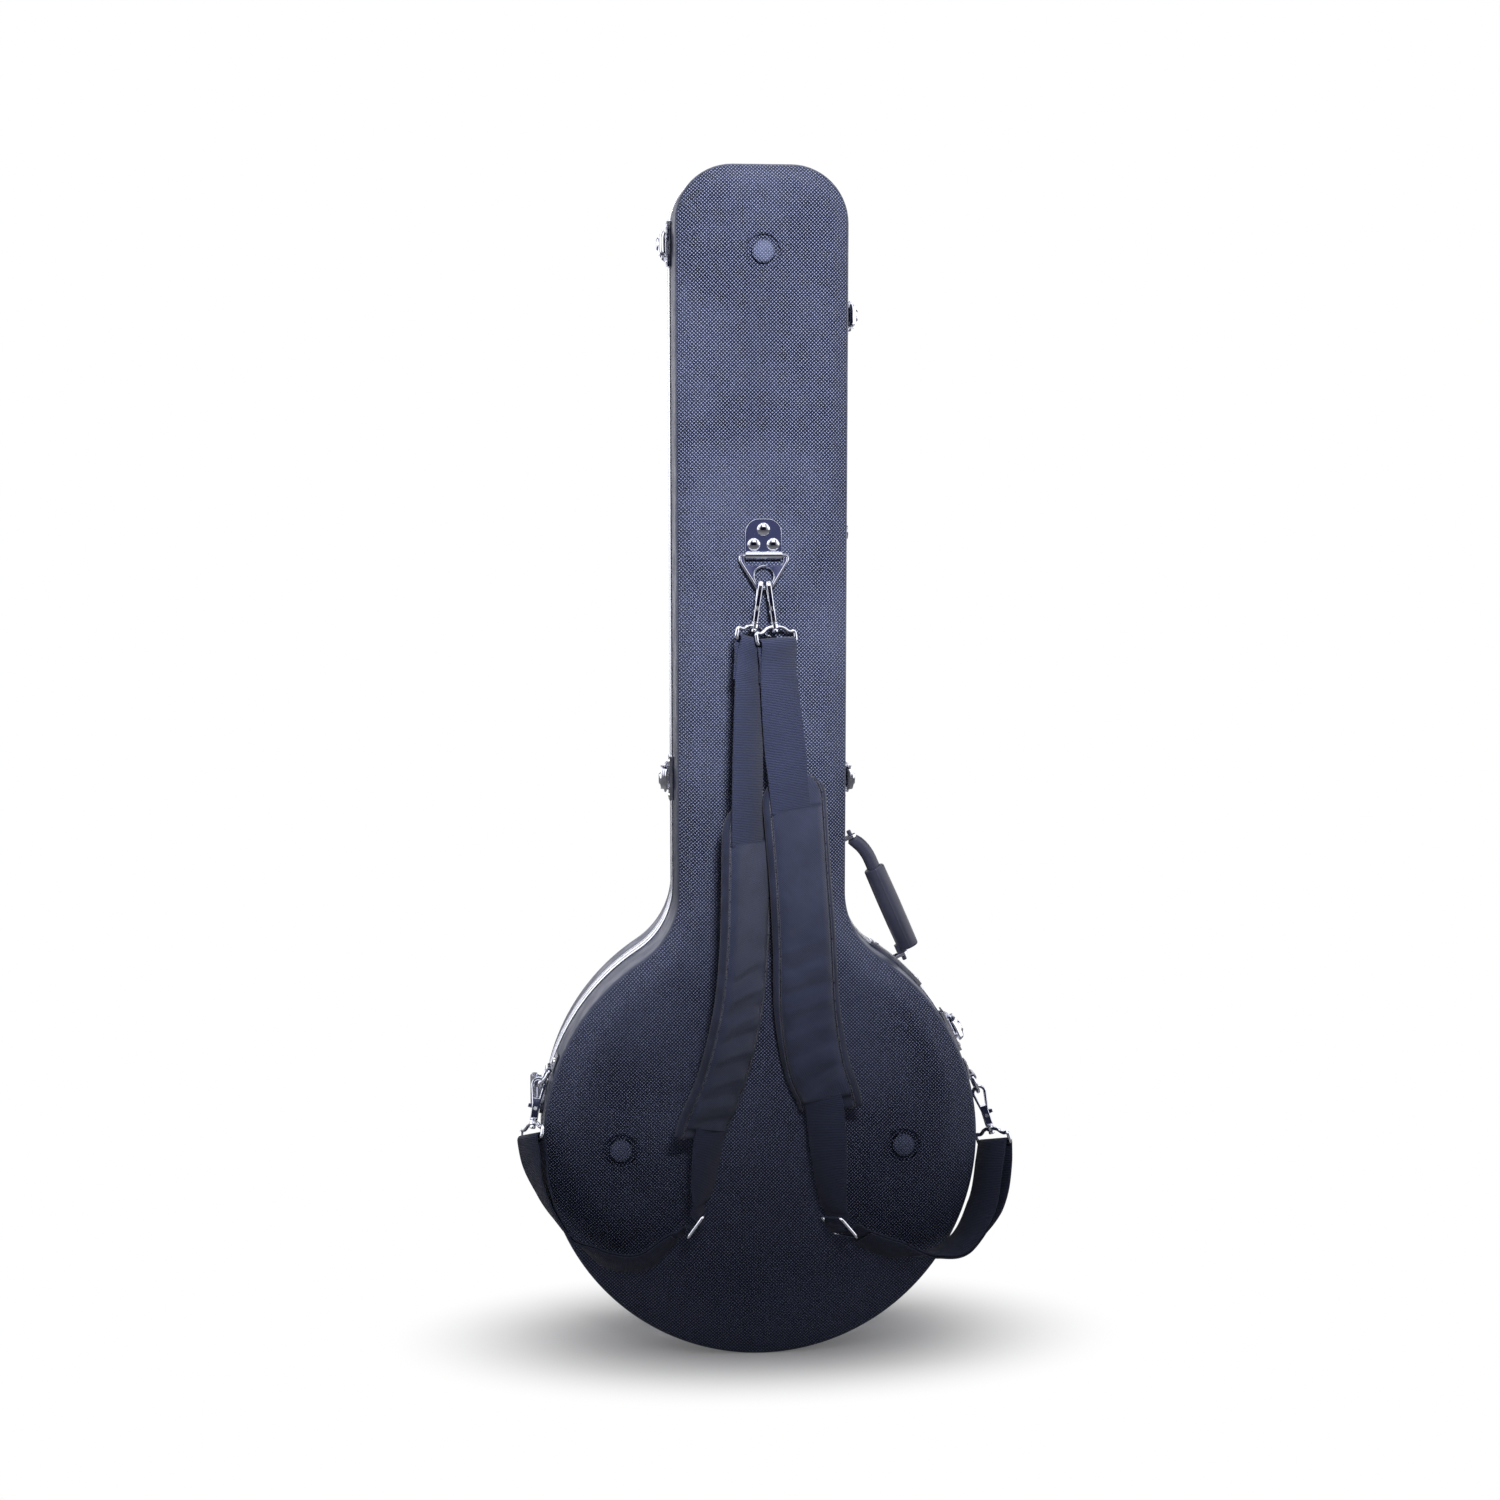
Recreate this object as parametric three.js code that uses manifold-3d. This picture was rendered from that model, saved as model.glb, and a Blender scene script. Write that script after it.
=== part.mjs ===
// Hard case for a five-string banjo, with shoulder straps, standing upright on its round end.
// Millimetres. +Z runs up along the neck, +X is to the right seen from the back, and the lid is on +Y.
// The origin is on the flat at the lower end, in the middle of the base half's metal edging.
import * as THREE from 'three';
import { mergeVertices } from 'three/addons/utils/BufferGeometryUtils.js';
import Module from 'manifold-3d';

const wasm = await Module();
wasm.setup();

// Driving sizes of the case
const caseLength = 1040;
const bodyHalfWidth = 194;
const bodyHalfHeight = 197;
const standingFlatCut = 3;
const neckHalfWidthTop = 77;
const neckHalfWidthFoot = 76;
const topCornerRadius = 52;
const shoulderRadius = 69;
const baseWallDepth = 63.5;
const lidWallDepth = 59;
const bevelDepth = 14;
const neckBevelWidth = 16;
const endBevelWidth = 40;
const wallDraft = 1;
const shellThickness = 3;

// Clearances and the one overrun of all cutting tools
const fitGap = 0.3;
const overrun = 1;

// Metal edging round both halves
const edgingWidth = 11;
const edgingLip = 1.2;
const edgingWeb = 7;
const edgingWebThickness = 2;
const edgingProud = edgingLip + fitGap;
const partingY = edgingWidth / 2;

// Lining of foam and plush
const foamWall = 12;
const foamFloor = 12;
const lidPadding = 8;
const neckChannelHalfWidth = 41;
const neckChannelDepth = 30;
const headstockHalfWidth = 52;
const headstockLength = 190;
const headstockDepth = 50;
const compartmentHalfWidth = 33;
const compartmentLength = 200;
const compartmentFoot = 480;
const compartmentFloor = 4;

// Webbing and shoulder pads
const webbingWidth = 36;
const webbingThickness = 1.6;
const padWidth = 60;
const padThickness = 10;

// Colours and finishes
const shellFinish = { color: 0x2b2f45, roughness: 0.5, metalness: 0 };
const edgingFinish = { color: 0xc9ccd4, roughness: 0.3, metalness: 0.9 };
const chromeFinish = { color: 0xdfe2e8, roughness: 0.12, metalness: 1 };
const plushFinish = { color: 0x20212b, roughness: 0.95, metalness: 0 };
const webbingFinish = { color: 0x262835, roughness: 0.85, metalness: 0 };
const padFinish = { color: 0x232532, roughness: 0.9, metalness: 0 };
const gripFinish = { color: 0x191a22, roughness: 0.45, metalness: 0 };

const bodyCentreZ = bodyHalfHeight - standingFlatCut;
const baseEdgeY = partingY - baseWallDepth;
const backFaceY = baseEdgeY - bevelDepth;
const lidEdgeY = partingY + lidWallDepth;
const halfGap = fitGap / 2;

const group = new THREE.Group();

function addPiece(parent, name, geometry, finish) {
  const mesh = new THREE.Mesh(geometry, new THREE.MeshStandardMaterial(finish));
  mesh.name = name;
  parent.add(mesh);
  return mesh;
}

function toSolid(geometry) {
  const bare = geometry.clone();
  bare.deleteAttribute('normal');
  bare.deleteAttribute('uv');
  const merged = mergeVertices(bare, 1e-4);
  const triVerts = Uint32Array.from(merged.index.array);
  const vertProperties = Float32Array.from(merged.attributes.position.array);
  return new wasm.Manifold(new wasm.Mesh({ numProp: 3, vertProperties, triVerts }));
}

function toGeometry(solid) {
  const mesh = solid.getMesh();
  const geometry = new THREE.BufferGeometry();
  geometry.setAttribute('position', new THREE.BufferAttribute(mesh.vertProperties, 3));
  geometry.setIndex(new THREE.BufferAttribute(mesh.triVerts, 1));
  return geometry;
}

function joined(first, ...others) {
  return others.reduce((sum, geometry) => sum.add(toSolid(geometry)), toSolid(first));
}

function without(solid, ...tools) {
  return tools.reduce((rest, tool) => rest.subtract(toSolid(tool)), solid);
}

function box(x, y, z) {
  const geometry = new THREE.BoxGeometry(x[1] - x[0], y[1] - y[0], z[1] - z[0]);
  return geometry.translate((x[0] + x[1]) / 2, (y[0] + y[1]) / 2, (z[0] + z[1]) / 2);
}

function rod(radius, length, axis, centre, sides = 12) {
  const geometry = new THREE.CylinderGeometry(radius, radius, length, sides);
  if (axis === 'x') geometry.rotateZ(Math.PI / 2);
  if (axis === 'z') geometry.rotateX(Math.PI / 2);
  return geometry.translate(...centre);
}

// A low dome that rises along plus Y, with a root sunk below its flat
function dome(radius, height, root, sides, steps) {
  const profile = [new THREE.Vector2(0, -root), new THREE.Vector2(radius, -root)];
  for (let i = 0; i < steps; i += 1) {
    const angle = (i / steps) * (Math.PI / 2);
    profile.push(new THREE.Vector2(radius * Math.cos(angle), height * Math.sin(angle)));
  }
  profile.push(new THREE.Vector2(0, height));
  return new THREE.LatheGeometry(profile, sides);
}

function isInsideOut(positions, faces) {
  const a = new THREE.Vector3();
  const b = new THREE.Vector3();
  const c = new THREE.Vector3();
  let volume = 0;
  for (let i = 0; i < faces.length; i += 3) {
    a.fromArray(positions, faces[i] * 3);
    b.fromArray(positions, faces[i + 1] * 3);
    c.fromArray(positions, faces[i + 2] * 3);
    volume += a.dot(b.cross(c));
  }
  return volume < 0;
}

// A closed skin through rings of points, capped at both ends or closed on itself. A twisted skin
// splits each quad along its shorter diagonal, so that its two sides stay parallel
function loft(rings, { closed = false, flat = false, twisted = false } = {}) {
  const count = rings[0].length;
  const points = rings.flat();
  const positions = points.flatMap((p) => [p.x, p.y, p.z]);
  const faces = [];
  const spans = closed ? rings.length : rings.length - 1;
  for (let i = 0; i < spans; i += 1) {
    const near = i * count;
    const far = ((i + 1) % rings.length) * count;
    for (let j = 0; j < count; j += 1) {
      const next = (j + 1) % count;
      const corners = [near + j, near + next, far + next, far + j];
      const [a, b, c, d] = corners;
      const across = points[a].distanceTo(points[c]) - points[b].distanceTo(points[d]);
      if (twisted && across > 0) faces.push(a, b, d, b, c, d);
      else faces.push(a, b, c, a, c, d);
    }
  }
  if (!closed) {
    const last = (rings.length - 1) * count;
    for (const [ring, start, flip] of [[rings[0], 0, true], [rings.at(-1), last, false]]) {
      const outline = ring.map((p) => new THREE.Vector2(p.x, p.z));
      const fan = ring.slice(2).map((_, j) => [0, j + 1, j + 2]);
      for (const [a, b, c] of flat ? capFaces(outline) : fan) {
        faces.push(start + a, start + (flip ? c : b), start + (flip ? b : c));
      }
    }
  }
  if (isInsideOut(positions, faces)) faces.reverse();
  const geometry = new THREE.BufferGeometry();
  geometry.setAttribute('position', new THREE.Float32BufferAttribute(positions, 3));
  geometry.setIndex(faces);
  return geometry;
}

function capFaces(outline) {
  const faces = THREE.ShapeUtils.triangulateShape(outline, []);
  const sameWay = THREE.ShapeUtils.area(outline) > 0;
  return sameWay ? faces : faces.map(([a, b, c]) => [a, c, b]);
}

// A flat shape drawn in X and Z, given a thickness along Y
function plate(shape, thickness, yMiddle, bevel = 0) {
  const settings = {
    depth: thickness - 2 * bevel,
    bevelEnabled: bevel > 0,
    bevelSize: bevel,
    bevelOffset: -bevel,
    bevelThickness: bevel,
    bevelSegments: 1,
    curveSegments: 6,
  };
  const geometry = new THREE.ExtrudeGeometry(shape, settings);
  return geometry.rotateX(Math.PI / 2).translate(0, yMiddle + thickness / 2 - bevel, 0);
}

// The case outline

function neckHalfWidthAt(z) {
  const share = (z - shoulderCentreZ) / (caseLength - topCornerRadius - shoulderCentreZ);
  return neckHalfWidthFoot + (neckHalfWidthTop - neckHalfWidthFoot) * share;
}

const shoulderCentreX = neckHalfWidthFoot + shoulderRadius;
const shoulderReach = bodyHalfWidth + shoulderRadius;
const shoulderCentreZ = bodyCentreZ + Math.sqrt(shoulderReach ** 2 - shoulderCentreX ** 2);
const shoulderAngle = Math.atan2(shoulderCentreZ - bodyCentreZ, shoulderCentreX);

// The right half from the top to the lower end: each point with its outward direction
function halfOutline(detail) {
  const points = [];
  const cornerX = neckHalfWidthTop - topCornerRadius;
  const cornerZ = caseLength - topCornerRadius;
  for (let i = 0; i <= detail.corner; i += 1) {
    const angle = (Math.PI / 2) * (1 - i / detail.corner);
    const x = Math.cos(angle);
    const z = Math.sin(angle);
    points.push({ x: cornerX + topCornerRadius * x, z: cornerZ + topCornerRadius * z, nx: x, nz: z });
  }
  for (let i = 0; i <= detail.shoulder; i += 1) {
    const angle = Math.PI + (shoulderAngle * i) / detail.shoulder;
    const x = Math.cos(angle);
    const z = Math.sin(angle);
    const px = shoulderCentreX + shoulderRadius * x;
    points.push({ x: px, z: shoulderCentreZ + shoulderRadius * z, nx: -x, nz: -z });
  }
  const sweep = shoulderAngle + Math.PI / 2;
  for (let i = 1; i <= detail.body; i += 1) {
    const angle = shoulderAngle - (sweep * i) / detail.body;
    const x = Math.cos(angle);
    const z = Math.sin(angle);
    const reach = z < 0 ? bodyHalfHeight : bodyHalfWidth;
    points.push({ x: bodyHalfWidth * x, z: bodyCentreZ + reach * z, nx: x, nz: z });
  }
  return points;
}

const shellDetail = { corner: 5, shoulder: 6, body: 20 };

// The whole outline moved inward, with its lower end cut flat at one level
function caseRing(y, inset, flatLevel) {
  const half = halfOutline(shellDetail);
  const insetAt = (p) => (typeof inset === 'function' ? inset(p.z) : inset);
  const right = half.map((p) => ({ x: p.x - p.nx * insetAt(p), z: p.z - p.nz * insetAt(p) }));
  const left = right.slice(0, -1).reverse().map((p) => ({ x: -p.x, z: p.z }));
  return [...right, ...left].map((p) => new THREE.Vector3(p.x, y, Math.max(p.z, flatLevel)));
}

// The bevel round the back and front grows from the neck to the lower end
function bevelInset(extra) {
  return (z) => {
    const down = THREE.MathUtils.clamp((shoulderCentreZ - z) / shoulderCentreZ, 0, 1);
    const share = THREE.MathUtils.smoothstep(down, 0, 1);
    return edgingProud + wallDraft + neckBevelWidth + (endBevelWidth - neckBevelWidth) * share + extra;
  };
}

// Moulded half shells

const webUndersideGap = halfGap + edgingWebThickness + fitGap;
const bevelSlope = bevelDepth / neckBevelWidth;
const innerBevelShift = shellThickness * (Math.sqrt(1 + bevelSlope ** 2) - bevelSlope);

function shell(side, wallDepth) {
  const at = (depth) => partingY + side * depth;
  const innerInset = edgingProud + shellThickness;
  const step = edgingWidth + fitGap;
  const edge = edgingProud + wallDraft;
  return [
    caseRing(at(wallDepth + bevelDepth), bevelInset(0), 0),
    caseRing(at(wallDepth), edge, 0),
    caseRing(at(step + shellThickness), edgingProud, 0),
    caseRing(at(step), edgingProud, edgingProud),
    caseRing(at(webUndersideGap), edgingProud, edgingProud),
    caseRing(at(webUndersideGap), innerInset, innerInset),
    caseRing(at(wallDepth - shellThickness / 2), edge + shellThickness, innerInset),
    caseRing(at(wallDepth + bevelDepth - shellThickness), bevelInset(innerBevelShift), innerInset),
  ];
}

const footRecessRadius = 14.5;
const footRecessDepth = 1.6;
const footRadius = 10.5;
const footProud = 4;
const footSideX = 124;
const footSideZ = 190;
const footTopInset = 77;
const footTopZ = caseLength - footTopInset;
const footPlaces = [[0, footTopZ], [-footSideX, footSideZ], [footSideX, footSideZ]];

function backShell() {
  let solid = joined(loft(shell(-1, baseWallDepth), { flat: true }));
  for (const [x, z] of footPlaces) {
    const recessY = backFaceY + footRecessDepth;
    const recess = rod(footRecessRadius, footRecessDepth + overrun, 'y', [x, recessY, z], 16);
    recess.translate(0, -(footRecessDepth + overrun) / 2, 0);
    const foot = dome(footRadius, footRecessDepth + footProud, shellThickness / 3, 16, 3);
    foot.rotateX(Math.PI).translate(x, recessY, z);
    solid = without(solid, recess).add(toSolid(foot));
  }
  return toGeometry(solid);
}

addPiece(group, 'back_shell', backShell(), shellFinish);
addPiece(group, 'front_shell', loft(shell(1, lidWallDepth), { flat: true }), shellFinish);

function edging(side) {
  const at = (depth) => partingY + side * depth;
  const webBottom = halfGap + edgingWebThickness;
  const profile = [
    [0, edgingWidth],
    [0, halfGap],
    [edgingWeb, halfGap],
    [edgingWeb, webBottom],
    [edgingLip, webBottom],
    [edgingLip, edgingWidth],
  ];
  return loft(profile.map(([inset, depth]) => caseRing(at(depth), inset, inset)), { closed: true });
}

addPiece(group, 'base_edging', edging(-1), edgingFinish);
addPiece(group, 'lid_edging', edging(1), edgingFinish);

// Foam linings

const linerInset = edgingProud + shellThickness + fitGap;
const potRadius = bodyHalfWidth - linerInset - foamWall;
const channelFloorY = partingY - neckChannelDepth;
const neckEnd = caseLength - linerInset - foamWall;
const headstockFoot = neckEnd - headstockLength;

function linerRings(side, wallDepth) {
  const at = (depth) => partingY + side * depth;
  const deepInset = linerInset + wallDraft;
  const floorDepth = wallDepth + bevelDepth - shellThickness - fitGap;
  return [
    caseRing(at(webUndersideGap + fitGap), linerInset, linerInset),
    caseRing(at(wallDepth - shellThickness / 2), deepInset, linerInset),
    caseRing(at(floorDepth), bevelInset(innerBevelShift + fitGap), linerInset),
  ];
}

function baseLining() {
  const floorY = backFaceY + shellThickness + fitGap;
  const rimY = partingY + overrun;
  const potFloorY = floorY + foamFloor;
  const pot = rod(potRadius, rimY - potFloorY, 'y', [0, (rimY + potFloorY) / 2, bodyCentreZ], 40);
  const halfChannel = [-neckChannelHalfWidth, neckChannelHalfWidth];
  const channel = box(halfChannel, [channelFloorY, rimY], [bodyCentreZ, neckEnd]);
  const headY = [partingY - headstockDepth, rimY];
  const head = box([-headstockHalfWidth, headstockHalfWidth], headY, [headstockFoot, neckEnd]);
  const wellX = [-compartmentHalfWidth, compartmentHalfWidth];
  const wellZ = [compartmentFoot, compartmentFoot + compartmentLength];
  const well = box(wellX, [floorY + compartmentFloor, rimY], wellZ);
  const block = joined(loft(linerRings(-1, baseWallDepth), { flat: true }));
  return toGeometry(without(block, pot, channel, head, well));
}

function lidLining() {
  const floorDepth = lidWallDepth + bevelDepth - shellThickness - fitGap - lidPadding;
  const inner = linerInset + lidPadding;
  return loft([
    caseRing(partingY + floorDepth, bevelInset(innerBevelShift + lidPadding / 2), inner),
    caseRing(partingY + lidWallDepth - lidPadding / 2, inner + wallDraft, inner),
    caseRing(partingY + webUndersideGap + fitGap, inner, inner),
    ...linerRings(1, lidWallDepth),
  ], { flat: true });
}

addPiece(group, 'base_lining', baseLining(), plushFinish);
addPiece(group, 'lid_lining', lidLining(), plushFinish);

// Hinged cover of the accessory compartment, lying on the floor of the neck channel
const accessoryLidThickness = 4;
const accessoryLidSideGap = 1.6;
const accessoryLidLap = 4;
const accessoryLidLift = 0.5;
const accessoryHinge = {
  x: -(neckChannelHalfWidth - accessoryLidSideGap) + accessoryLidThickness / 3,
  y: channelFloorY + accessoryLidLift + accessoryLidThickness / 2,
};

function accessoryLid() {
  const halfWidth = neckChannelHalfWidth - accessoryLidSideGap;
  const bottom = channelFloorY + accessoryLidLift;
  const z = [compartmentFoot - accessoryLidLap, compartmentFoot + compartmentLength + accessoryLidLap];
  return box([-halfWidth, halfWidth], [bottom, bottom + accessoryLidThickness], z);
}

addPiece(group, 'accessory_lid', accessoryLid(), plushFinish);

// A group whose X points out of the case side, Y along the depth and Z along the outline
function sideMount(x, z, angle) {
  const mount = new THREE.Group();
  mount.position.set(x, partingY, z);
  mount.rotation.y = -angle;
  group.add(mount);
  return mount;
}

function neckMount(side, z) {
  return sideMount(side * neckHalfWidthAt(z), z, side > 0 ? 0 : Math.PI);
}

function bodyMount(angle) {
  const x = bodyHalfWidth * Math.cos(angle);
  return sideMount(x, bodyCentreZ + bodyHalfWidth * Math.sin(angle), angle);
}

// Draw latches: a riveted plate with two ears, a lever, a wire bail and a catch on the lid

const latchPlateLength = 39;
const latchPlateThickness = 1.5;
const latchPlateReach = 22;
const latchEdgeGap = 1;
const latchRivetRadius = 2.6;
const latchRivetHeight = 1.2;
const latchRivetSpan = 30;
const latchPivotHeight = 6;
const latchPivotBack = 7;
const latchHubRadius = 3;
const latchPinRadius = 1.2;
const leverHalfWidth = 9;
const leverLength = 20.5;
const leverCrown = 3.8;
const earThickness = 1.2;
const bailRadius = 1;
const bailThrow = 5;
const bailDip = 0.85;
const bailHalfSpan = 12.2;
const catchHalfLength = 12;
const catchReach = 12.5;
const ledgeHalfLength = 8;
const ledgeNear = 4.6;
const ledgeThickness = 1.6;
const ledgeHeight = 2.4;

const plateTop = fitGap + latchPlateThickness;
const wallDrop = edgingProud - fitGap;

function latchPlate() {
  const half = latchPlateLength / 2;
  const along = [-half, half];
  const onEdging = box([fitGap, plateTop], [-latchPlateReach, -latchEdgeGap], along);
  const onWall = box([-wallDrop, plateTop], [-latchPlateReach, -edgingWidth - fitGap], along);
  let solid = joined(onEdging, onWall);
  for (const side of [-1, 1]) {
    const inner = side * (leverHalfWidth + fitGap + earThickness / 2);
    const centre = [latchPivotHeight, -latchPivotBack, inner];
    const ear = rod(latchHubRadius, earThickness, 'z', centre);
    const earX = [fitGap, latchPivotHeight];
    const earY = [-latchPivotBack - latchHubRadius, -latchPivotBack + latchHubRadius];
    const foot = box(earX, earY, [inner - earThickness / 2, inner + earThickness / 2]);
    const bore = rod(latchPinRadius + fitGap, earThickness + overrun, 'z', centre);
    const rivetY = -(latchPlateReach + edgingWidth) / 2;
    solid = solid.add(toSolid(ear)).add(toSolid(foot)).subtract(toSolid(bore));
    const head = dome(latchRivetRadius, latchRivetHeight, latchPlateThickness / 2, 8, 2);
    head.rotateZ(-Math.PI / 2).translate(plateTop, rivetY, (side * latchRivetSpan) / 2);
    solid = solid.add(toSolid(head));
  }
  return toGeometry(solid);
}

function extrudeAlongZ(points, halfWidth) {
  const shape = new THREE.Shape(points.map(([x, y]) => new THREE.Vector2(x, y)));
  const geometry = new THREE.ExtrudeGeometry(shape, { depth: 2 * halfWidth, bevelEnabled: false });
  return geometry.translate(0, 0, -halfWidth);
}

// Lever profile: crown shares of the height and length shares of the reach, outer face then inner
const leverOuterShares = [[1, 0.3], [0.92, 0.6], [0.45, 0.85], [-0.15, 1]];
const leverInnerShares = [[-0.5, 0.96], [0.16, 0.7], [0.3, 0.46]];
const leverHeelShares = [0.8, 0.33];

function latchLever() {
  const r = latchHubRadius;
  const diagonal = r * Math.SQRT1_2;
  const onLever = ([up, along]) => [up * leverCrown, -along * leverLength];
  const profile = [
    [0, r],
    [diagonal, diagonal],
    [r, 0],
    ...leverOuterShares.map(onLever),
    ...leverInnerShares.map(onLever),
    [-leverHeelShares[0] * r, -leverHeelShares[1] * leverLength],
    [-r, 0],
    [-diagonal, diagonal],
  ];
  const body = extrudeAlongZ(profile, leverHalfWidth);
  const pinLength = 2 * (leverHalfWidth + fitGap + earThickness);
  const solid = joined(body, rod(latchPinRadius, pinLength, 'z', [0, 0, 0]));
  return toGeometry(solid).translate(latchPivotHeight, -latchPivotBack, 0);
}

const bailBarX = plateTop + fitGap + bailRadius;
const bailBarY = ledgeNear + ledgeThickness + fitGap + bailRadius;
const bailPivotX = latchPivotHeight - bailDip;
const bailPivotY = -latchPivotBack - Math.sqrt(bailThrow ** 2 - bailDip ** 2);

function latchBail() {
  const run = new THREE.Vector3(bailBarX - bailPivotX, bailBarY - bailPivotY, 0);
  const middle = [(bailBarX + bailPivotX) / 2, (bailBarY + bailPivotY) / 2];
  const bar = rod(bailRadius, 2 * (bailHalfSpan + bailRadius), 'z', [bailBarX, bailBarY, 0], 8);
  let solid = joined(bar);
  for (const side of [-1, 1]) {
    const leg = new THREE.CylinderGeometry(bailRadius, bailRadius, run.length(), 8);
    leg.rotateZ(-Math.atan2(run.x, run.y)).translate(middle[0], middle[1], side * bailHalfSpan);
    const turnedIn = bailHalfSpan + bailRadius - leverHalfWidth - fitGap;
    const endZ = side * (leverHalfWidth + fitGap + turnedIn / 2);
    const end = rod(bailRadius, turnedIn, 'z', [bailPivotX, bailPivotY, endZ], 8);
    solid = solid.add(toSolid(leg)).add(toSolid(end));
  }
  return toGeometry(solid);
}

function latchCatch() {
  const along = [-catchHalfLength, catchHalfLength];
  const onEdging = box([fitGap, plateTop], [latchEdgeGap, catchReach], along);
  const ledgeX = [fitGap, plateTop + ledgeHeight];
  const ledgeZ = [-ledgeHalfLength, ledgeHalfLength];
  return toGeometry(joined(onEdging, box(ledgeX, [ledgeNear, ledgeNear + ledgeThickness], ledgeZ)));
}

const latchInset = { leftUpper: 66, rightUpper: 126 };
const latchRise = { leftLower: 96.1, rightLower: 94.6 };
const latchHeights = {
  leftUpper: caseLength - latchInset.leftUpper,
  leftLower: shoulderCentreZ + latchRise.leftLower,
  rightUpper: caseLength - latchInset.rightUpper,
  rightLower: shoulderCentreZ + latchRise.rightLower,
};
const boutLatchAngle = THREE.MathUtils.degToRad(25.8);
const latches = {
  left_upper: neckMount(-1, latchHeights.leftUpper),
  left_lower: neckMount(-1, latchHeights.leftLower),
  right_upper: neckMount(1, latchHeights.rightUpper),
  right_lower: neckMount(1, latchHeights.rightLower),
  bout: bodyMount(boutLatchAngle),
};

for (const [place, mount] of Object.entries(latches)) {
  addPiece(mount, `latch_plate_${place}`, latchPlate(), chromeFinish);
  addPiece(mount, `latch_lever_${place}`, latchLever(), chromeFinish);
  addPiece(mount, `latch_bail_${place}`, latchBail(), chromeFinish);
  addPiece(mount, `latch_catch_${place}`, latchCatch(), chromeFinish);
}

// Key lock on the right of the neck
const lockNeckShare = 0.4984;
const lockHeight = shoulderCentreZ + (caseLength - shoulderCentreZ) * lockNeckShare;
const lockPlateLength = 24;
const lockPlateReach = 19;
const lockBarrelRadius = 6;
const lockBarrelHeight = 3.6;
const keySlotWidth = 1.4;
const keySlotLength = 6;

function keyLock() {
  const along = [-lockPlateLength / 2, lockPlateLength / 2];
  const onEdging = box([fitGap, plateTop], [-lockPlateReach, -latchEdgeGap], along);
  const onWall = box([-wallDrop, plateTop], [-lockPlateReach, -edgingWidth - fitGap], along);
  const barrelY = -(lockPlateReach + latchEdgeGap) / 2;
  const centre = [fitGap + lockBarrelHeight / 2, barrelY, 0];
  const barrel = rod(lockBarrelRadius, lockBarrelHeight, 'x', centre, 16);
  const slotX = [plateTop, lockBarrelHeight + overrun];
  const slotY = [barrelY - keySlotLength / 2, barrelY + keySlotLength / 2];
  const slot = box(slotX, slotY, [-keySlotWidth / 2, keySlotWidth / 2]);
  return toGeometry(without(joined(onEdging, onWall, barrel), slot));
}

addPiece(neckMount(1, lockHeight), 'key_lock', keyLock(), chromeFinish);

function casePrism(yRange, inset) {
  return loft([caseRing(yRange[0], inset, 0), caseRing(yRange[1], inset, 0)], { flat: true });
}

// A plate cut from a block: it follows the edging and steps down to the wall beside it
function fittedPlate(block, thickness, side) {
  const at = (depth) => partingY + side * depth;
  const step = edgingWidth + fitGap;
  const outer = casePrism([at(0), at(lidWallDepth)], -fitGap - thickness);
  const overEdging = casePrism([at(-overrun), at(step)], -fitGap);
  const overWall = casePrism([at(step), at(lidWallDepth + overrun)], edgingProud - fitGap);
  return without(block.intersect(toSolid(outer)), overEdging, overWall);
}

// Two butt hinges at the widest line of the left side, on one upright axis

const hingeLength = 30;
const hingeSpacing = 64;
const hingeBarrelRadius = 4;
const hingePinRadius = 1.6;
const hingePinHeadRadius = 2.6;
const hingePinHeadHeight = 1.2;
const hingeLeafThickness = 1.5;
const hingeLeafReach = 21;
const hingeWebLap = 1;
const hingeBarrelClear = 0.8;
const hingeAxisX = -(bodyHalfWidth + hingeBarrelRadius + hingeBarrelClear);
const hingeKnuckle = hingeLength / 3;

// side is -1 for the leaf on the base half and 1 for the leaf on the lid
function hingeLeaf(side, centreZ) {
  const along = [centreZ - hingeLength / 2, centreZ + hingeLength / 2];
  const inner = -bodyHalfWidth + hingeLength;
  const clearOfBarrel = hingeBarrelRadius + fitGap;
  const span = (near, far) => [partingY + side * near, partingY + side * far].sort((a, b) => a - b);
  const block = box([hingeAxisX - hingeBarrelRadius, inner], span(clearOfBarrel, hingeLeafReach), along);
  let solid = fittedPlate(joined(block), hingeLeafThickness, side);
  const knuckles = side < 0 ? [-1, 1] : [0];
  for (const k of knuckles) {
    const z = centreZ + k * hingeKnuckle;
    const half = hingeKnuckle / 2 - halfGap;
    const centre = [hingeAxisX, partingY, z];
    const barrel = rod(hingeBarrelRadius, 2 * half, 'z', centre, 16);
    const webY = span(halfGap, clearOfBarrel + hingeWebLap);
    const caseSide = casePrism(span(-overrun, edgingWidth), -fitGap);
    const web = without(joined(box([hingeAxisX, inner], webY, [z - half, z + half])), caseSide);
    solid = solid.add(web).add(toSolid(barrel));
    const bore = rod(hingePinRadius + fitGap, hingeKnuckle + overrun, 'z', centre, 12);
    solid = solid.subtract(toSolid(bore));
  }
  return toGeometry(solid);
}

function hingePin(centreZ) {
  const shaftLength = hingeLength + 2 * fitGap;
  const shaft = rod(hingePinRadius, shaftLength, 'z', [hingeAxisX, partingY, centreZ], 12);
  const headZ = shaftLength / 2 + hingePinHeadHeight / 2;
  const heads = [-1, 1].map((end) => {
    const centre = [hingeAxisX, partingY, centreZ + end * headZ];
    return rod(hingePinHeadRadius, hingePinHeadHeight + halfGap, 'z', centre, 12);
  });
  return toGeometry(joined(shaft, ...heads));
}

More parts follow.
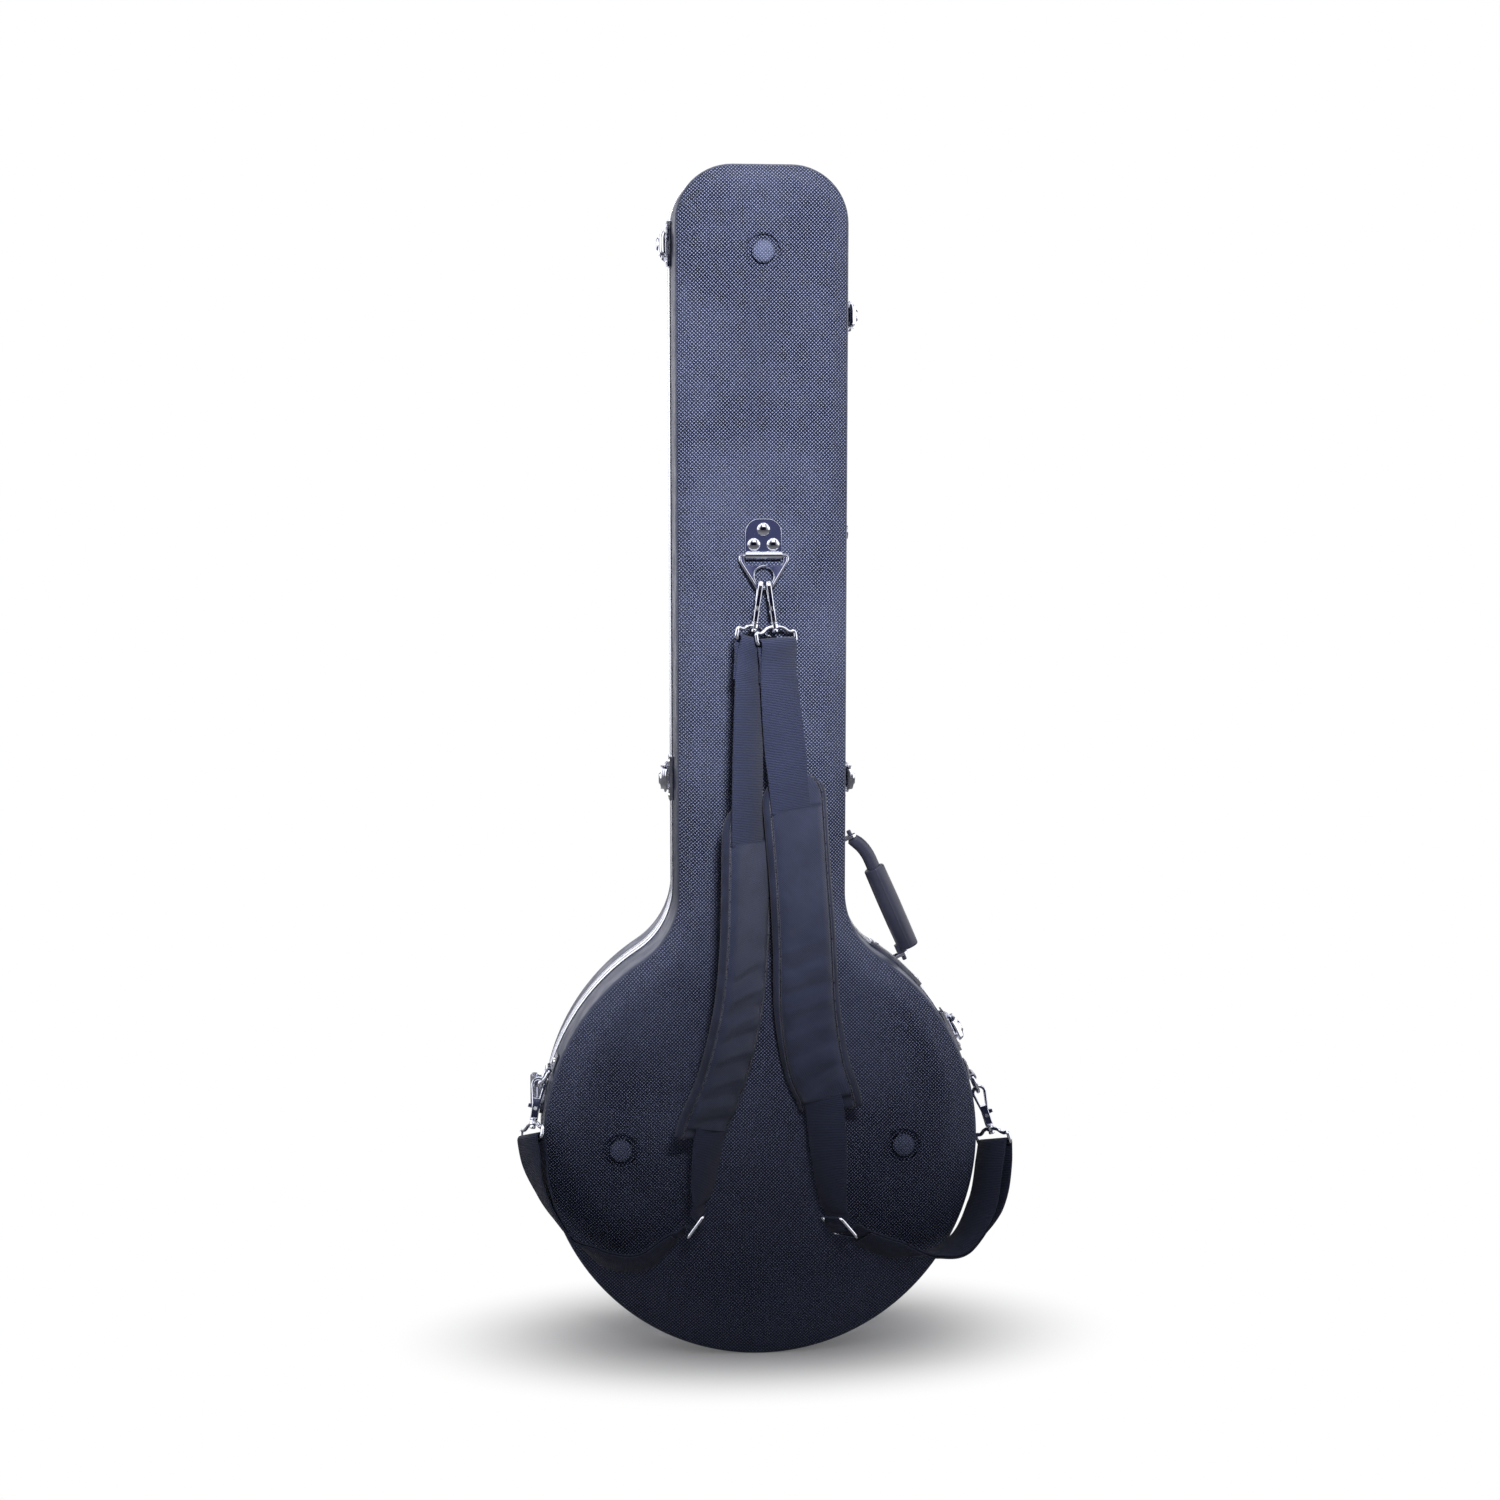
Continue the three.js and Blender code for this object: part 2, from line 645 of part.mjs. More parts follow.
for (const [place, way] of [['upper', 1], ['lower', -1]]) {
  const z = bodyCentreZ + (way * hingeSpacing) / 2;
  addPiece(group, `hinge_base_leaf_${place}`, hingeLeaf(-1, z), chromeFinish);
  addPiece(group, `hinge_lid_leaf_${place}`, hingeLeaf(1, z), chromeFinish);
  addPiece(group, `hinge_pin_${place}`, hingePin(z), chromeFinish);
}

// Carrying handle on the right, from the neck to the round body, in two riveted brackets

const handleTopRise = 41.1;
const handleTopZ = shoulderCentreZ + handleTopRise;
const handleFootShare = 0.403;
const handleStandOff = 8.7;
const handleDepth = 8.5;
const handleRise = 7.5;
const handleCoreRadius = 6;
const handlePinRadius = 2;
const handlePinLength = 6;
const handleCollarRadius = 3.2;
const handleCollarLength = 7;
const handleLugRadius = 4.2;
const handleLugLength = 8;
const gripRadius = 9.4;
const gripStart = 37;
const gripRounding = 1.6;
const bracketThickness = 1.8;
const bracketWidth = 15;
const bracketLength = 60;
const bracketRivetInset = 6;
const bracketRivetRadius = 3;
const bracketRivetHeight = 1.4;
const handleEarRadius = 5;
const handleEarThickness = 2.6;
const coreBendShare = 0.8;
const handleFootAngle = shoulderAngle - (handleFootShare * bracketLength) / bodyHalfWidth;

const handleTop = new THREE.Vector3(
  neckHalfWidthAt(handleTopZ) + handleStandOff,
  partingY - handleDepth,
  handleTopZ,
);
const handleFoot = new THREE.Vector3(
  (bodyHalfWidth + handleStandOff) * Math.cos(handleFootAngle),
  partingY - handleDepth,
  bodyCentreZ + (bodyHalfWidth + handleStandOff) * Math.sin(handleFootAngle),
);
const handleSpan = handleTop.distanceTo(handleFoot);
const earReach = handleEarThickness / 2 + fitGap;

// A group at a place, with Z along one direction and X as near as can be to another
function aimedMount(place, up, outward) {
  const z = up.clone().normalize();
  const x = outward.clone().addScaledVector(z, -outward.dot(z)).normalize();
  const mount = new THREE.Group();
  mount.position.copy(place);
  mount.quaternion.setFromRotationMatrix(new THREE.Matrix4().makeBasis(x, z.clone().cross(x), z));
  group.add(mount);
  return mount;
}

function placed(geometry, mount) {
  mount.updateMatrixWorld(true);
  return geometry.applyMatrix4(mount.matrixWorld);
}

const outwardX = new THREE.Vector3(1, 0, 0);
const acrossY = new THREE.Vector3(0, 1, 0);
const handleMount = aimedMount(handleTop, handleTop.clone().sub(handleFoot), outwardX);

// A round bar through points in the X and Z plane
function sweptBar(points, radius, sides) {
  const rings = points.map((place, i) => {
    const before = points[Math.max(i - 1, 0)];
    const after = points[Math.min(i + 1, points.length - 1)];
    const out = acrossY.clone().cross(after.clone().sub(before)).normalize();
    return Array.from({ length: sides }, (_, j) => {
      const angle = (j / sides) * Math.PI * 2;
      const point = place.clone().addScaledVector(out, radius * Math.cos(angle));
      return point.addScaledVector(acrossY, radius * Math.sin(angle));
    });
  });
  return loft(rings);
}

function handleCore() {
  const start = earReach + handleCollarLength / 2;
  const bendEnd = gripStart - handleRise;
  const bend = new THREE.CubicBezierCurve3(
    new THREE.Vector3(0, 0, -start),
    new THREE.Vector3(handleRise * coreBendShare, 0, -(start + handleRise)),
    new THREE.Vector3(handleRise, 0, -(bendEnd - handleRise)),
    new THREE.Vector3(handleRise, 0, -bendEnd),
  );
  const end = new THREE.Vector3(handleRise, 0, -(handleSpan - earReach - handleLugLength / 4));
  const bar = sweptBar([...bend.getPoints(7), end], handleCoreRadius, 12);
  const collarZ = -(earReach + handleCollarLength / 2);
  const collar = rod(handleCollarRadius, handleCollarLength, 'z', [0, 0, collarZ]);
  const lugZ = -(handleSpan - earReach - handleLugLength / 2);
  const lug = rod(handleLugRadius, handleLugLength, 'z', [0, 0, lugZ]);
  const pins = [0, -handleSpan].map((z) => rod(handlePinRadius, 2 * handlePinLength, 'z', [0, 0, z]));
  return placed(toGeometry(joined(bar, collar, lug, ...pins)), handleMount);
}

function handleGrip() {
  const top = -gripStart;
  const end = -(handleSpan - earReach - handleLugLength - fitGap);
  const profile = [
    [0, end],
    [gripRadius - gripRounding, end],
    [gripRadius, end + gripRounding],
    [gripRadius, top - gripRounding],
    [gripRadius - gripRounding, top],
    [0, top],
  ];
  const sleeve = new THREE.LatheGeometry(profile.map(([r, z]) => new THREE.Vector2(r, z)), 16);
  sleeve.rotateX(Math.PI / 2).translate(handleRise, 0, 0);
  const boreRadius = (handleCoreRadius + fitGap) / Math.cos(Math.PI / 12);
  const boreLength = top - end + 2 * overrun;
  const bore = rod(boreRadius, boreLength, 'z', [handleRise, 0, (top + end) / 2]);
  return placed(toGeometry(without(joined(sleeve), bore)), handleMount);
}

// The ear of a bracket, drawn long and then cut where it meets the plate's underside
function handleEar(place) {
  const half = handleEarThickness / 2;
  const web = box([-2 * handleStandOff, 0], [-handleEarRadius, handleEarRadius], [-half, half]);
  const solid = joined(rod(handleEarRadius, handleEarThickness, 'z', [0, 0, 0], 16), web);
  const moved = toGeometry(solid).translate(0, 0, place);
  return joined(placed(moved, handleMount));
}

function handleBracket(mount, place) {
  const halfLength = bracketLength / 2;
  const nearY = -handleDepth + bracketWidth / 2;
  const block = box([-handleStandOff, handleStandOff], [nearY - bracketWidth, nearY], [-halfLength, halfLength]);
  const plateSolid = fittedPlate(joined(placed(block, mount)), bracketThickness, -1);
  const ear = handleEar(place).subtract(toSolid(casePrism([partingY, baseEdgeY], -fitGap)));
  const solid = plateSolid.add(ear);
  const bore = rod(handlePinRadius + fitGap, handleEarThickness + 2 * overrun, 'z', [0, 0, place]);
  return solid.subtract(toSolid(placed(bore, handleMount)));
}

function bracketRivet(mount) {
  const head = dome(bracketRivetRadius, bracketRivetHeight, bracketThickness / 2, 8, 2);
  head.rotateZ(-Math.PI / 2).translate(fitGap + bracketThickness, -handleDepth, 0);
  return toSolid(placed(head, mount));
}

const rivetArm = bracketLength / 2 - bracketRivetInset;
const upperBracket = handleBracket(neckMount(1, handleTopZ), 0)
  .add(bracketRivet(neckMount(1, handleTopZ + rivetArm)))
  .add(bracketRivet(neckMount(1, handleTopZ - rivetArm)));
const lowerBracket = handleBracket(bodyMount(handleFootAngle), -handleSpan)
  .add(bracketRivet(bodyMount(handleFootAngle + rivetArm / bodyHalfWidth)))
  .add(bracketRivet(bodyMount(handleFootAngle - rivetArm / bodyHalfWidth)));

addPiece(group, 'handle_bracket_upper', toGeometry(upperBracket), chromeFinish);
addPiece(group, 'handle_bracket_lower', toGeometry(lowerBracket), chromeFinish);
addPiece(group, 'handle_core', handleCore(), gripFinish);
addPiece(group, 'handle_grip', handleGrip(), gripFinish);

// Strap anchor on the back of the neck: a riveted plate with a rolled eye, and a ring plate in it

const anchorShare = 0.6798;
const anchorZ = caseLength * anchorShare;
const anchorHalfWidth = 15.6;
const anchorHeight = 31;
const anchorCornerRadius = 12;
const anchorThickness = 1.5;
const anchorRivetRadius = 5.4;
const anchorRivetHeight = 2.6;
const anchorRivetHalfSpan = 7.8;
const anchorRivetLowZ = 8.5;
const anchorRivetHighZ = 21.5;
const eyeRadius = 3.6;
const eyeBore = 2.4;
const ringThickness = 2.5;
const ringBar = 3;
const ringTopHalf = 21.5;
const ringFootHalf = 6.5;
const ringShoulder = 5;
const ringLength = 30;
const ringSlotHeight = 7.5;
const ringSlotHalf = anchorHalfWidth + 1.2;
const ringHoleRadius = 8.4;
const ringRim = 3.3;
const ringLean = THREE.MathUtils.degToRad(12);

function polygon(points) {
  return points.map(([x, z]) => new THREE.Vector2(x, z));
}

function strapAnchor() {
  const outline = new THREE.Shape();
  const cornerX = anchorHalfWidth - anchorCornerRadius;
  const cornerZ = anchorHeight - anchorCornerRadius;
  outline.moveTo(-anchorHalfWidth, 0);
  outline.lineTo(anchorHalfWidth, 0);
  outline.absarc(cornerX, cornerZ, anchorCornerRadius, 0, Math.PI / 2);
  outline.absarc(-cornerX, cornerZ, anchorCornerRadius, Math.PI / 2, Math.PI);
  const sheet = plate(outline, anchorThickness, -(fitGap + anchorThickness / 2));
  const eye = rod(eyeRadius, 2 * anchorHalfWidth, 'x', [0, -(fitGap + eyeRadius), 0], 16);
  const heads = [
    [0, anchorRivetHighZ],
    [-anchorRivetHalfSpan, anchorRivetLowZ],
    [anchorRivetHalfSpan, anchorRivetLowZ],
  ].map(([x, z]) => {
    const head = dome(anchorRivetRadius, anchorRivetHeight, anchorThickness / 2, 12, 3);
    return head.rotateX(Math.PI).translate(x, -(fitGap + anchorThickness), z);
  });
  const boreLength = 2 * (anchorHalfWidth + overrun);
  const bore = rod(eyeBore, boreLength, 'x', [0, -(fitGap + eyeRadius), 0], 16);
  const solid = without(joined(sheet, eye, ...heads), bore);
  return toGeometry(solid).translate(0, backFaceY, anchorZ);
}

const eyePlace = new THREE.Vector3(0, backFaceY - fitGap - eyeRadius, anchorZ);
const ringDown = new THREE.Vector3(0, -Math.sin(ringLean), -Math.cos(ringLean));
const ringHoleZ = -(ringLength - ringRim - ringHoleRadius);

function anchorRing() {
  const bar = ringBar / 2;
  const outline = new THREE.Shape(polygon([
    [-ringTopHalf, bar],
    [-ringTopHalf, -ringShoulder],
    [-ringFootHalf, -ringLength],
    [ringFootHalf, -ringLength],
    [ringTopHalf, -ringShoulder],
    [ringTopHalf, bar],
  ]));
  outline.holes.push(new THREE.Path(polygon([
    [-ringSlotHalf, -bar],
    [-ringSlotHalf, -ringShoulder],
    [-anchorHalfWidth, -bar - ringSlotHeight],
    [anchorHalfWidth, -bar - ringSlotHeight],
    [ringSlotHalf, -ringShoulder],
    [ringSlotHalf, -bar],
  ])));
  outline.holes.push(new THREE.Path().absarc(0, ringHoleZ, ringHoleRadius, 0, Math.PI * 2));
  return plate(outline, ringThickness, 0);
}

addPiece(group, 'strap_anchor_plate', strapAnchor(), chromeFinish);
const ringMount = aimedMount(eyePlace, ringDown.clone().negate(), outwardX);
addPiece(ringMount, 'strap_anchor_ring', anchorRing(), chromeFinish);

// Swivel snap hooks. The origin is inside the top of the eye, and the hook hangs down along Z

const hookThickness = 4.4;
const hookEyeHalf = 4;
const hookEyeLength = 16;
const hookEyeFootHalf = 2.2;
const hookRim = 2.6;
const hookNeckHalf = 3.4;
const hookNeckStart = 21;
const hookReach = 36;
const hookEdgeBevel = 0.7;
const triggerReach = 3.4;
const triggerHeight = 3.6;
const collarRadius = 3.4;
const collarLength = 1.5;
const swivelStemRadius = 1.6;
const swivelBeadRadius = 2.7;
const swivelBeadLength = 3;
const loopBossLength = 4;
const hookSideways = 0.8;

function snapHook() {
  const bodyEnd = hookReach - fitGap - collarLength;
  const outline = new THREE.Shape();
  outline.moveTo(-hookNeckHalf, -bodyEnd);
  outline.lineTo(hookNeckHalf, -bodyEnd);
  outline.lineTo(hookNeckHalf, -hookNeckStart);
  outline.absarc(0, -hookEyeHalf, hookEyeHalf + hookRim, 0, Math.PI);
  outline.lineTo(-hookNeckHalf, -hookNeckStart);
  const eye = new THREE.Path();
  eye.moveTo(-hookEyeFootHalf, -hookEyeLength);
  eye.lineTo(hookEyeFootHalf, -hookEyeLength);
  eye.absarc(0, -hookEyeHalf, hookEyeHalf, 0, Math.PI);
  outline.holes.push(eye);
  const body = plate(outline, hookThickness, 0, hookEdgeBevel);
  const triggerX = [hookNeckHalf - hookEdgeBevel, hookNeckHalf + triggerReach];
  const triggerY = [-hookThickness / 4, hookThickness / 4];
  const trigger = box(triggerX, triggerY, [-hookNeckStart - triggerHeight, -hookNeckStart]);
  const collar = rod(collarRadius, collarLength, 'z', [0, 0, -bodyEnd - collarLength / 2], 8);
  const beadTop = hookReach + loopBossLength + fitGap;
  const bead = rod(swivelBeadRadius, swivelBeadLength, 'z', [0, 0, -beadTop - swivelBeadLength / 2], 8);
  const stemLength = beadTop - bodyEnd;
  const stem = rod(swivelStemRadius, stemLength, 'z', [0, 0, -bodyEnd - stemLength / 2], 8);
  return toGeometry(joined(body, trigger, collar, stem, bead));
}

// Strap loop under each swivel. The origin is on top of its boss

const loopWire = 3.4;
const loopSlack = 0.6;
const loopInnerHalf = webbingWidth / 2 + loopSlack;
const loopDrop = 16;
const loopShoulder = 4.6;
const loopBossRadius = 3.4;
const loopBossShare = 1.6;
const loopBevel = 0.8;

function strapLoop() {
  const outer = loopInnerHalf + loopWire;
  const foot = loopDrop + loopWire / 2;
  const crown = loopBossRadius * loopBossShare;
  const outline = new THREE.Shape(polygon([
    [-outer, -foot],
    [outer, -foot],
    [outer, -loopShoulder],
    [crown, -fitGap],
    [-crown, -fitGap],
    [-outer, -loopShoulder],
  ]));
  outline.holes.push(new THREE.Path(polygon([
    [-loopInnerHalf, -loopDrop + loopWire / 2],
    [loopInnerHalf, -loopDrop + loopWire / 2],
    [loopInnerHalf, -loopShoulder - loopWire],
    [loopBossRadius, -loopBossLength],
    [-loopBossRadius, -loopBossLength],
    [-loopInnerHalf, -loopShoulder - loopWire],
  ])));
  const frame = plate(outline, loopWire, 0, loopBevel);
  const boss = rod(loopBossRadius, loopBossLength, 'z', [0, 0, -loopBossLength / 2]);
  const boreLength = loopBossLength + 2 * overrun;
  const bore = rod(swivelStemRadius + fitGap, boreLength, 'z', [0, 0, -loopBossLength / 2]);
  return toGeometry(without(joined(frame, boss), bore));
}

// Anchor plates on the side walls of the round body, each with an eye and a wire ring

const sideAnchorDepth = 42;
const sideAnchorWidth = 18;
const sideAnchorHeight = 15;
const sideAnchorThickness = 1.5;
const sideEyeRadius = 3.4;
const sideRivetSpan = 9;
const sideRivetZ = 9;
const dRingWire = 3.4;
const dRingHalf = 13;
const dRingDrop = 16;
const dRingBevel = 0.9;

function wallInsetAt(depth) {
  const start = edgingWidth + fitGap + shellThickness;
  return edgingProud + (wallDraft * (depth - start)) / (baseWallDepth - start);
}

const sideAnchorX = fitGap - wallInsetAt(sideAnchorDepth - sideAnchorWidth / 2);
const sideEyeX = sideAnchorX + sideEyeRadius;

// way is 1 where the case outline runs up along plus Z of its mount, and -1 where it runs down
function sideAnchor(way) {
  const y = [-sideAnchorDepth - sideAnchorWidth / 2, -sideAnchorDepth + sideAnchorWidth / 2];
  const z = [0, way * sideAnchorHeight].sort((a, b) => a - b);
  const sheet = box([sideAnchorX, sideAnchorX + sideAnchorThickness], y, z);
  const eye = rod(sideEyeRadius, sideAnchorWidth, 'y', [sideEyeX, -sideAnchorDepth, 0], 16);
  const heads = [-1, 1].map((side) => {
    const head = dome(latchRivetRadius, latchRivetHeight, sideAnchorThickness / 2, 8, 2);
    const headY = -sideAnchorDepth + (side * sideRivetSpan) / 2;
    head.rotateZ(-Math.PI / 2).translate(sideAnchorX + sideAnchorThickness, headY, way * sideRivetZ);
    return head;
  });
  const bore = rod(eyeBore, sideAnchorWidth + 2 * overrun, 'y', [sideEyeX, -sideAnchorDepth, 0], 16);
  return toGeometry(without(joined(sheet, eye, ...heads), bore));
}

function dShape(half, top, drop) {
  const steps = 10;
  const arc = Array.from({ length: steps + 1 }, (_, i) => Math.PI * (1 + i / steps));
  const points = arc.map((angle) => [half * Math.cos(angle), top - drop + half * (1 + Math.sin(angle))]);
  return polygon([[half, top], [-half, top], ...points]);
}

function dRing() {
  const bar = dRingWire / 2;
  const outline = new THREE.Shape(dShape(dRingHalf, bar, dRingDrop + dRingWire));
  outline.holes.push(new THREE.Path(dShape(dRingHalf - dRingWire, -bar, dRingDrop - dRingWire)));
  return plate(outline, dRingWire, 0, dRingBevel);
}

// Straps. A station is a share of the body's half width, of the stand-off from the back face and of
// the way from the middle of the body up to the anchor, and the turn of the band in degrees

const strapStandOff = 25;
const topLoopDrop = 61.2;
const padTurnIn = 1.4;
const padCorner = 24;
const padFootCorner = 7;
const padBindingShare = 0.34;
const layerGap = webbingThickness + 2 * fitGap;
const wrapRadius = loopWire / 2 + fitGap + webbingThickness;
const wrapSettle = 18;
const foldOpenLength = 80;
const upperTail = 34;
const sliderHalfWidth = 22.6;
const sliderBar = 2.6;
const sliderPitch = 11.5;
const sliderThickness = 2.5;
const sliderWave = 3;
const sliderSink = 0.3;
const sliderSettle = 20;
const foldEndGap = 24;

const straps = {
  right: {
    hookX: 3.2,
    topLoopX: 8.4,
    topLoopOut: 15.4,
    topTurn: THREE.MathUtils.degToRad(30),
    sideAngle: THREE.MathUtils.degToRad(14.5),
    dRingLean: THREE.MathUtils.degToRad(8),
    lowTurn: new THREE.Vector3(0.61, -0.79, 0),
    lowHookDown: new THREE.Vector3(0.29423, -0.09594, -0.95091),
    fold: 3,
    padShift: [7, 3],
    upperShares: [
      [0.062, 0.8, 0.7875, 24],
      [0.087, 0.88, 0.6781, 6],
    ],
    padShares: [
      [0.098, 0.98, 0.6335, 14],
      [0.112, 1, 0.5751, 18],
      [0.139, 0.96, 0.4611, 18],
      [0.16, 0.84, 0.3456, 12],
      [0.173, 0.68, 0.2280, 0],
      [0.211, 0.74, 0.1347, -15],
      [0.254, 0.92, 0.0887, -26],
      [0.266, 0.96, 0.0662, -28],
    ],
    lowerShares: [
      [0.281, 1.04, 0.0009, -34],
      [0.3, 1.08, -0.0842, -54],
      [0.327, 1.08, -0.1329, -68],
      [0.422, 1, -0.1481, -64],
      [0.573, 0.88, -0.1738, -62],
      [0.757, 0.62, -0.1900, -79],
      [0.89, 0.33, -0.1785, -104],
      [1.01, -0.36, -0.1227, -118],
    ],
  },
  left: {
    hookX: -3.2,
    topLoopX: -8.9,
    topLoopOut: 16.4,
    topTurn: THREE.MathUtils.degToRad(42),
    sideAngle: THREE.MathUtils.degToRad(161.7),
    dRingLean: THREE.MathUtils.degToRad(13),
    lowTurn: new THREE.Vector3(-0.4, 0.917, 0),
    lowHookDown: new THREE.Vector3(-0.14843, -0.40037, -0.90425),
    fold: 0.6,
    padShift: [8, -5],
    upperShares: [
      [-0.07, 1.08, 0.7916, 42],
      [-0.08, 1.18, 0.6781, 41],
    ],
    padShares: [
      [-0.084, 1.28, 0.5868, 40],
      [-0.086, 1.32, 0.5224, 40],
      [-0.084, 1.3, 0.4611, 40],
      [-0.084, 1.24, 0.3456, 40],
      [-0.103, 1.18, 0.2361, 39],
      [-0.168, 1.14, 0.1165, 38],
      [-0.24, 1.14, 0.0429, 38],
      [-0.2526, 1.14, 0.0234, 39],
    ],
    lowerShares: [
      [-0.276, 1.1, -0.0477, 50],
      [-0.289, 1.1, -0.0903, 67],
      [-0.3, 1.1, -0.1207, 78],
      [-0.427, 1.05, -0.1460, 72],
      [-0.55, 1, -0.1840, 64],
      [-0.672, 0.88, -0.1852, 66],
      [-0.759, 0.78, -0.1700, 73],
      [-0.851, 0.56, -0.1501, 80],
      [-0.925, 0.34, -0.1126, 78],
      [-0.985, -0.1, -0.0680, 71],
    ],
  },
};

const hemIndex = 1;
const sliderIndex = 2;

function stationPlace([x, standOff, z]) {
  const height = bodyCentreZ + z * (anchorZ - bodyCentreZ);
  return new THREE.Vector3(x * bodyHalfWidth, backFaceY - standOff * strapStandOff, height);
}

// The two directions that a band's turn is measured between, square to its run
function runFrame(along) {
  const level = new THREE.Vector3(-along.z, 0, along.x).normalize();
  const depth = acrossY.clone().addScaledVector(along, -along.y).normalize();
  return { level, depth };
}

function bandFrame(place, along, turn) {
  const { level, depth } = runFrame(along);
  const across = level.multiplyScalar(Math.cos(turn)).addScaledVector(depth, Math.sin(turn));
  return { place, along, across, normal: along.clone().cross(across) };
}

// A centre line through stations. Arc lengths along it give a place, a run, an across and a normal
function bandRoute(stations) {
  const curve = new THREE.CatmullRomCurve3(stations.map((s) => s.place), false, 'centripetal');
  const perSpan = 40;
  curve.arcLengthDivisions = perSpan * (stations.length - 1);
  const lengths = curve.getLengths();
  const turnAt = (t) => {
    const scaled = THREE.MathUtils.clamp(t, 0, 1) * (stations.length - 1);
    const i = Math.min(Math.floor(scaled), stations.length - 2);
    const share = THREE.MathUtils.smoothstep(scaled - i, 0, 1) / 2 + (scaled - i) / 2;
    return THREE.MathUtils.lerp(stations[i].turn, stations[i + 1].turn, share);
  };
  return {
    length: lengths.at(-1),
    lengthTo: (index) => lengths[index * perSpan],
    at: (distance) => {
      const t = curve.getUtoTmapping(0, THREE.MathUtils.clamp(distance, 0, lengths.at(-1)));
      return bandFrame(curve.getPoint(t), curve.getTangent(t), turnAt(t));
    },
  };
}

// The end of a route on a loop's bar: its last run is square to the bar, and its turn lies along it
function barStations(barPlace, neighbour, bar, outOfBar) {
  const approach = barPlace.clone().sub(neighbour);
  approach.addScaledVector(bar, -approach.dot(bar)).normalize();
  const run = approach.clone().multiplyScalar(outOfBar ? -1 : 1);
  const { level, depth } = runFrame(run);
  const turn = Math.atan2(bar.dot(depth), bar.dot(level));
  const lead = barPlace.clone().addScaledVector(approach, -wrapSettle);
  return [{ place: lead, turn }, { place: barPlace, turn }];
}

function bandRing(place, across, normal) {
  const half = webbingWidth / 2;
  const thick = webbingThickness / 2;
  return [[-half, thick], [half, thick], [half, -thick], [-half, -thick]].map(([u, v]) => (
    place.clone().addScaledVector(across, u).addScaledVector(normal, v)
  ));
}

// The ring of a band that is offset from its route. Past a fold the band's other side faces out
function routeRing(route, distance, offset, facing = 1) {
  const { place, across, normal } = route.at(distance);
  const middle = place.clone().addScaledVector(normal, offset);
  return bandRing(middle, across, normal.multiplyScalar(facing));
}

function spaced(from, to, step) {
  const count = Math.max(1, Math.round(Math.abs(to - from) / step));
  return Array.from({ length: count + 1 }, (_, i) => from + ((to - from) * i) / count);
}

// Half a turn round a bar, from one side of the band to the other
function wrapRings(frame, way, from) {
  return [1, 2, 3, 4, 5].map((i) => {
    const angle = (Math.PI * i) / 6;
    const out = frame.normal.clone().multiplyScalar(from * Math.cos(angle));
    out.addScaledVector(frame.along, way * Math.sin(angle));
    const place = frame.place.clone().addScaledVector(out, wrapRadius);
    return bandRing(place, frame.across, out.multiplyScalar(from));
  });
}

// Webbing folded round the top loop: a short sewn tail behind, and the long run in front
function upperWebbing(route, end) {
  const settle = (d) => THREE.MathUtils.smoothstep(d, 0, wrapSettle);
  const step = wrapSettle / 4;
  const stops = [...spaced(0, 2 * wrapSettle, step), ...spaced(2 * wrapSettle, end, 2 * step).slice(1)];
  const tail = stops.filter((d) => d <= upperTail).reverse()
    .map((d) => routeRing(route, d, THREE.MathUtils.lerp(-wrapRadius, -layerGap, settle(d))));
  const front = stops.map((d) => routeRing(route, d, wrapRadius * (1 - settle(d)), -1));
  return loft([...tail, ...wrapRings(route.at(0), -1, -1), ...front], { twisted: true });
}

// Webbing from the pad: through the slider, round the low loop and back to a sewn end
function lowerWebbing(route, sliderAt, fold) {
  const half = layerGap / 2;
  const spread = (d) => {
    const near = 1 - THREE.MathUtils.smoothstep(d, 0, foldOpenLength);
    const bulge = fold * Math.sin(Math.PI * THREE.MathUtils.clamp(d / foldOpenLength, 0, 1));
    return { middle: half * (1 - near) + bulge, apart: half + (wrapRadius - half) * near + bulge };
  };
  const wave = (distance) => {
    const d = Math.abs(distance - sliderAt);
    if (d <= sliderPitch) return sliderWave * Math.cos((Math.PI * d) / sliderPitch);
    return -sliderWave * (1 - THREE.MathUtils.smoothstep(d, sliderPitch + sliderBar / 2, sliderSettle));
  };
  const step = wrapSettle / 3;
  const stops = [
    ...spaced(0, sliderAt - sliderSettle, step),
    ...spaced(sliderAt - sliderSettle, sliderAt + sliderSettle, sliderPitch / 5).slice(1),
    ...spaced(sliderAt + sliderSettle, route.length, step).slice(1),
  ];
  const out = stops.map((s) => {
    const { middle, apart } = spread(route.length - s);
    const away = Math.abs(s - sliderAt) < sliderSettle ? wave(s) : 0;
    return routeRing(route, s, middle - apart + away);
  });
  const back = stops.filter((s) => s >= sliderAt + foldEndGap).reverse().map((s) => {
    const { middle, apart } = spread(route.length - s);
    return routeRing(route, s, middle + apart, -1);
  });
  const around = wrapRings(route.at(route.length), 1, -1);
  return loft([...out, ...around, ...back], { twisted: true });
}

// Crowned section of a pad, as shares of its half width and half thickness, right side first
const padCrownShares = [[1, 0.1], [0.95, 0.5], [0.8, 0.82], [0.4, 1]];
const padBackShares = [[1, -0.1], [0.95, -0.45], [0.8, -0.7], [0.4, -0.86]];

function padRing(frame, halfWidth, halfThickness, sideways) {
  const drop = padThickness / 2 + 2 * fitGap + webbingThickness / 2;
  const mirror = (points) => points.map(([u, v]) => [-u, v]);
  const section = [
    ...padCrownShares,
    ...mirror(padCrownShares).reverse(),
    ...mirror(padBackShares),
    ...[...padBackShares].reverse(),
  ];
  return section.map(([u, v]) => frame.place.clone()
    .addScaledVector(frame.across, sideways + u * halfWidth)
    .addScaledVector(frame.normal, v * halfThickness - drop));
}

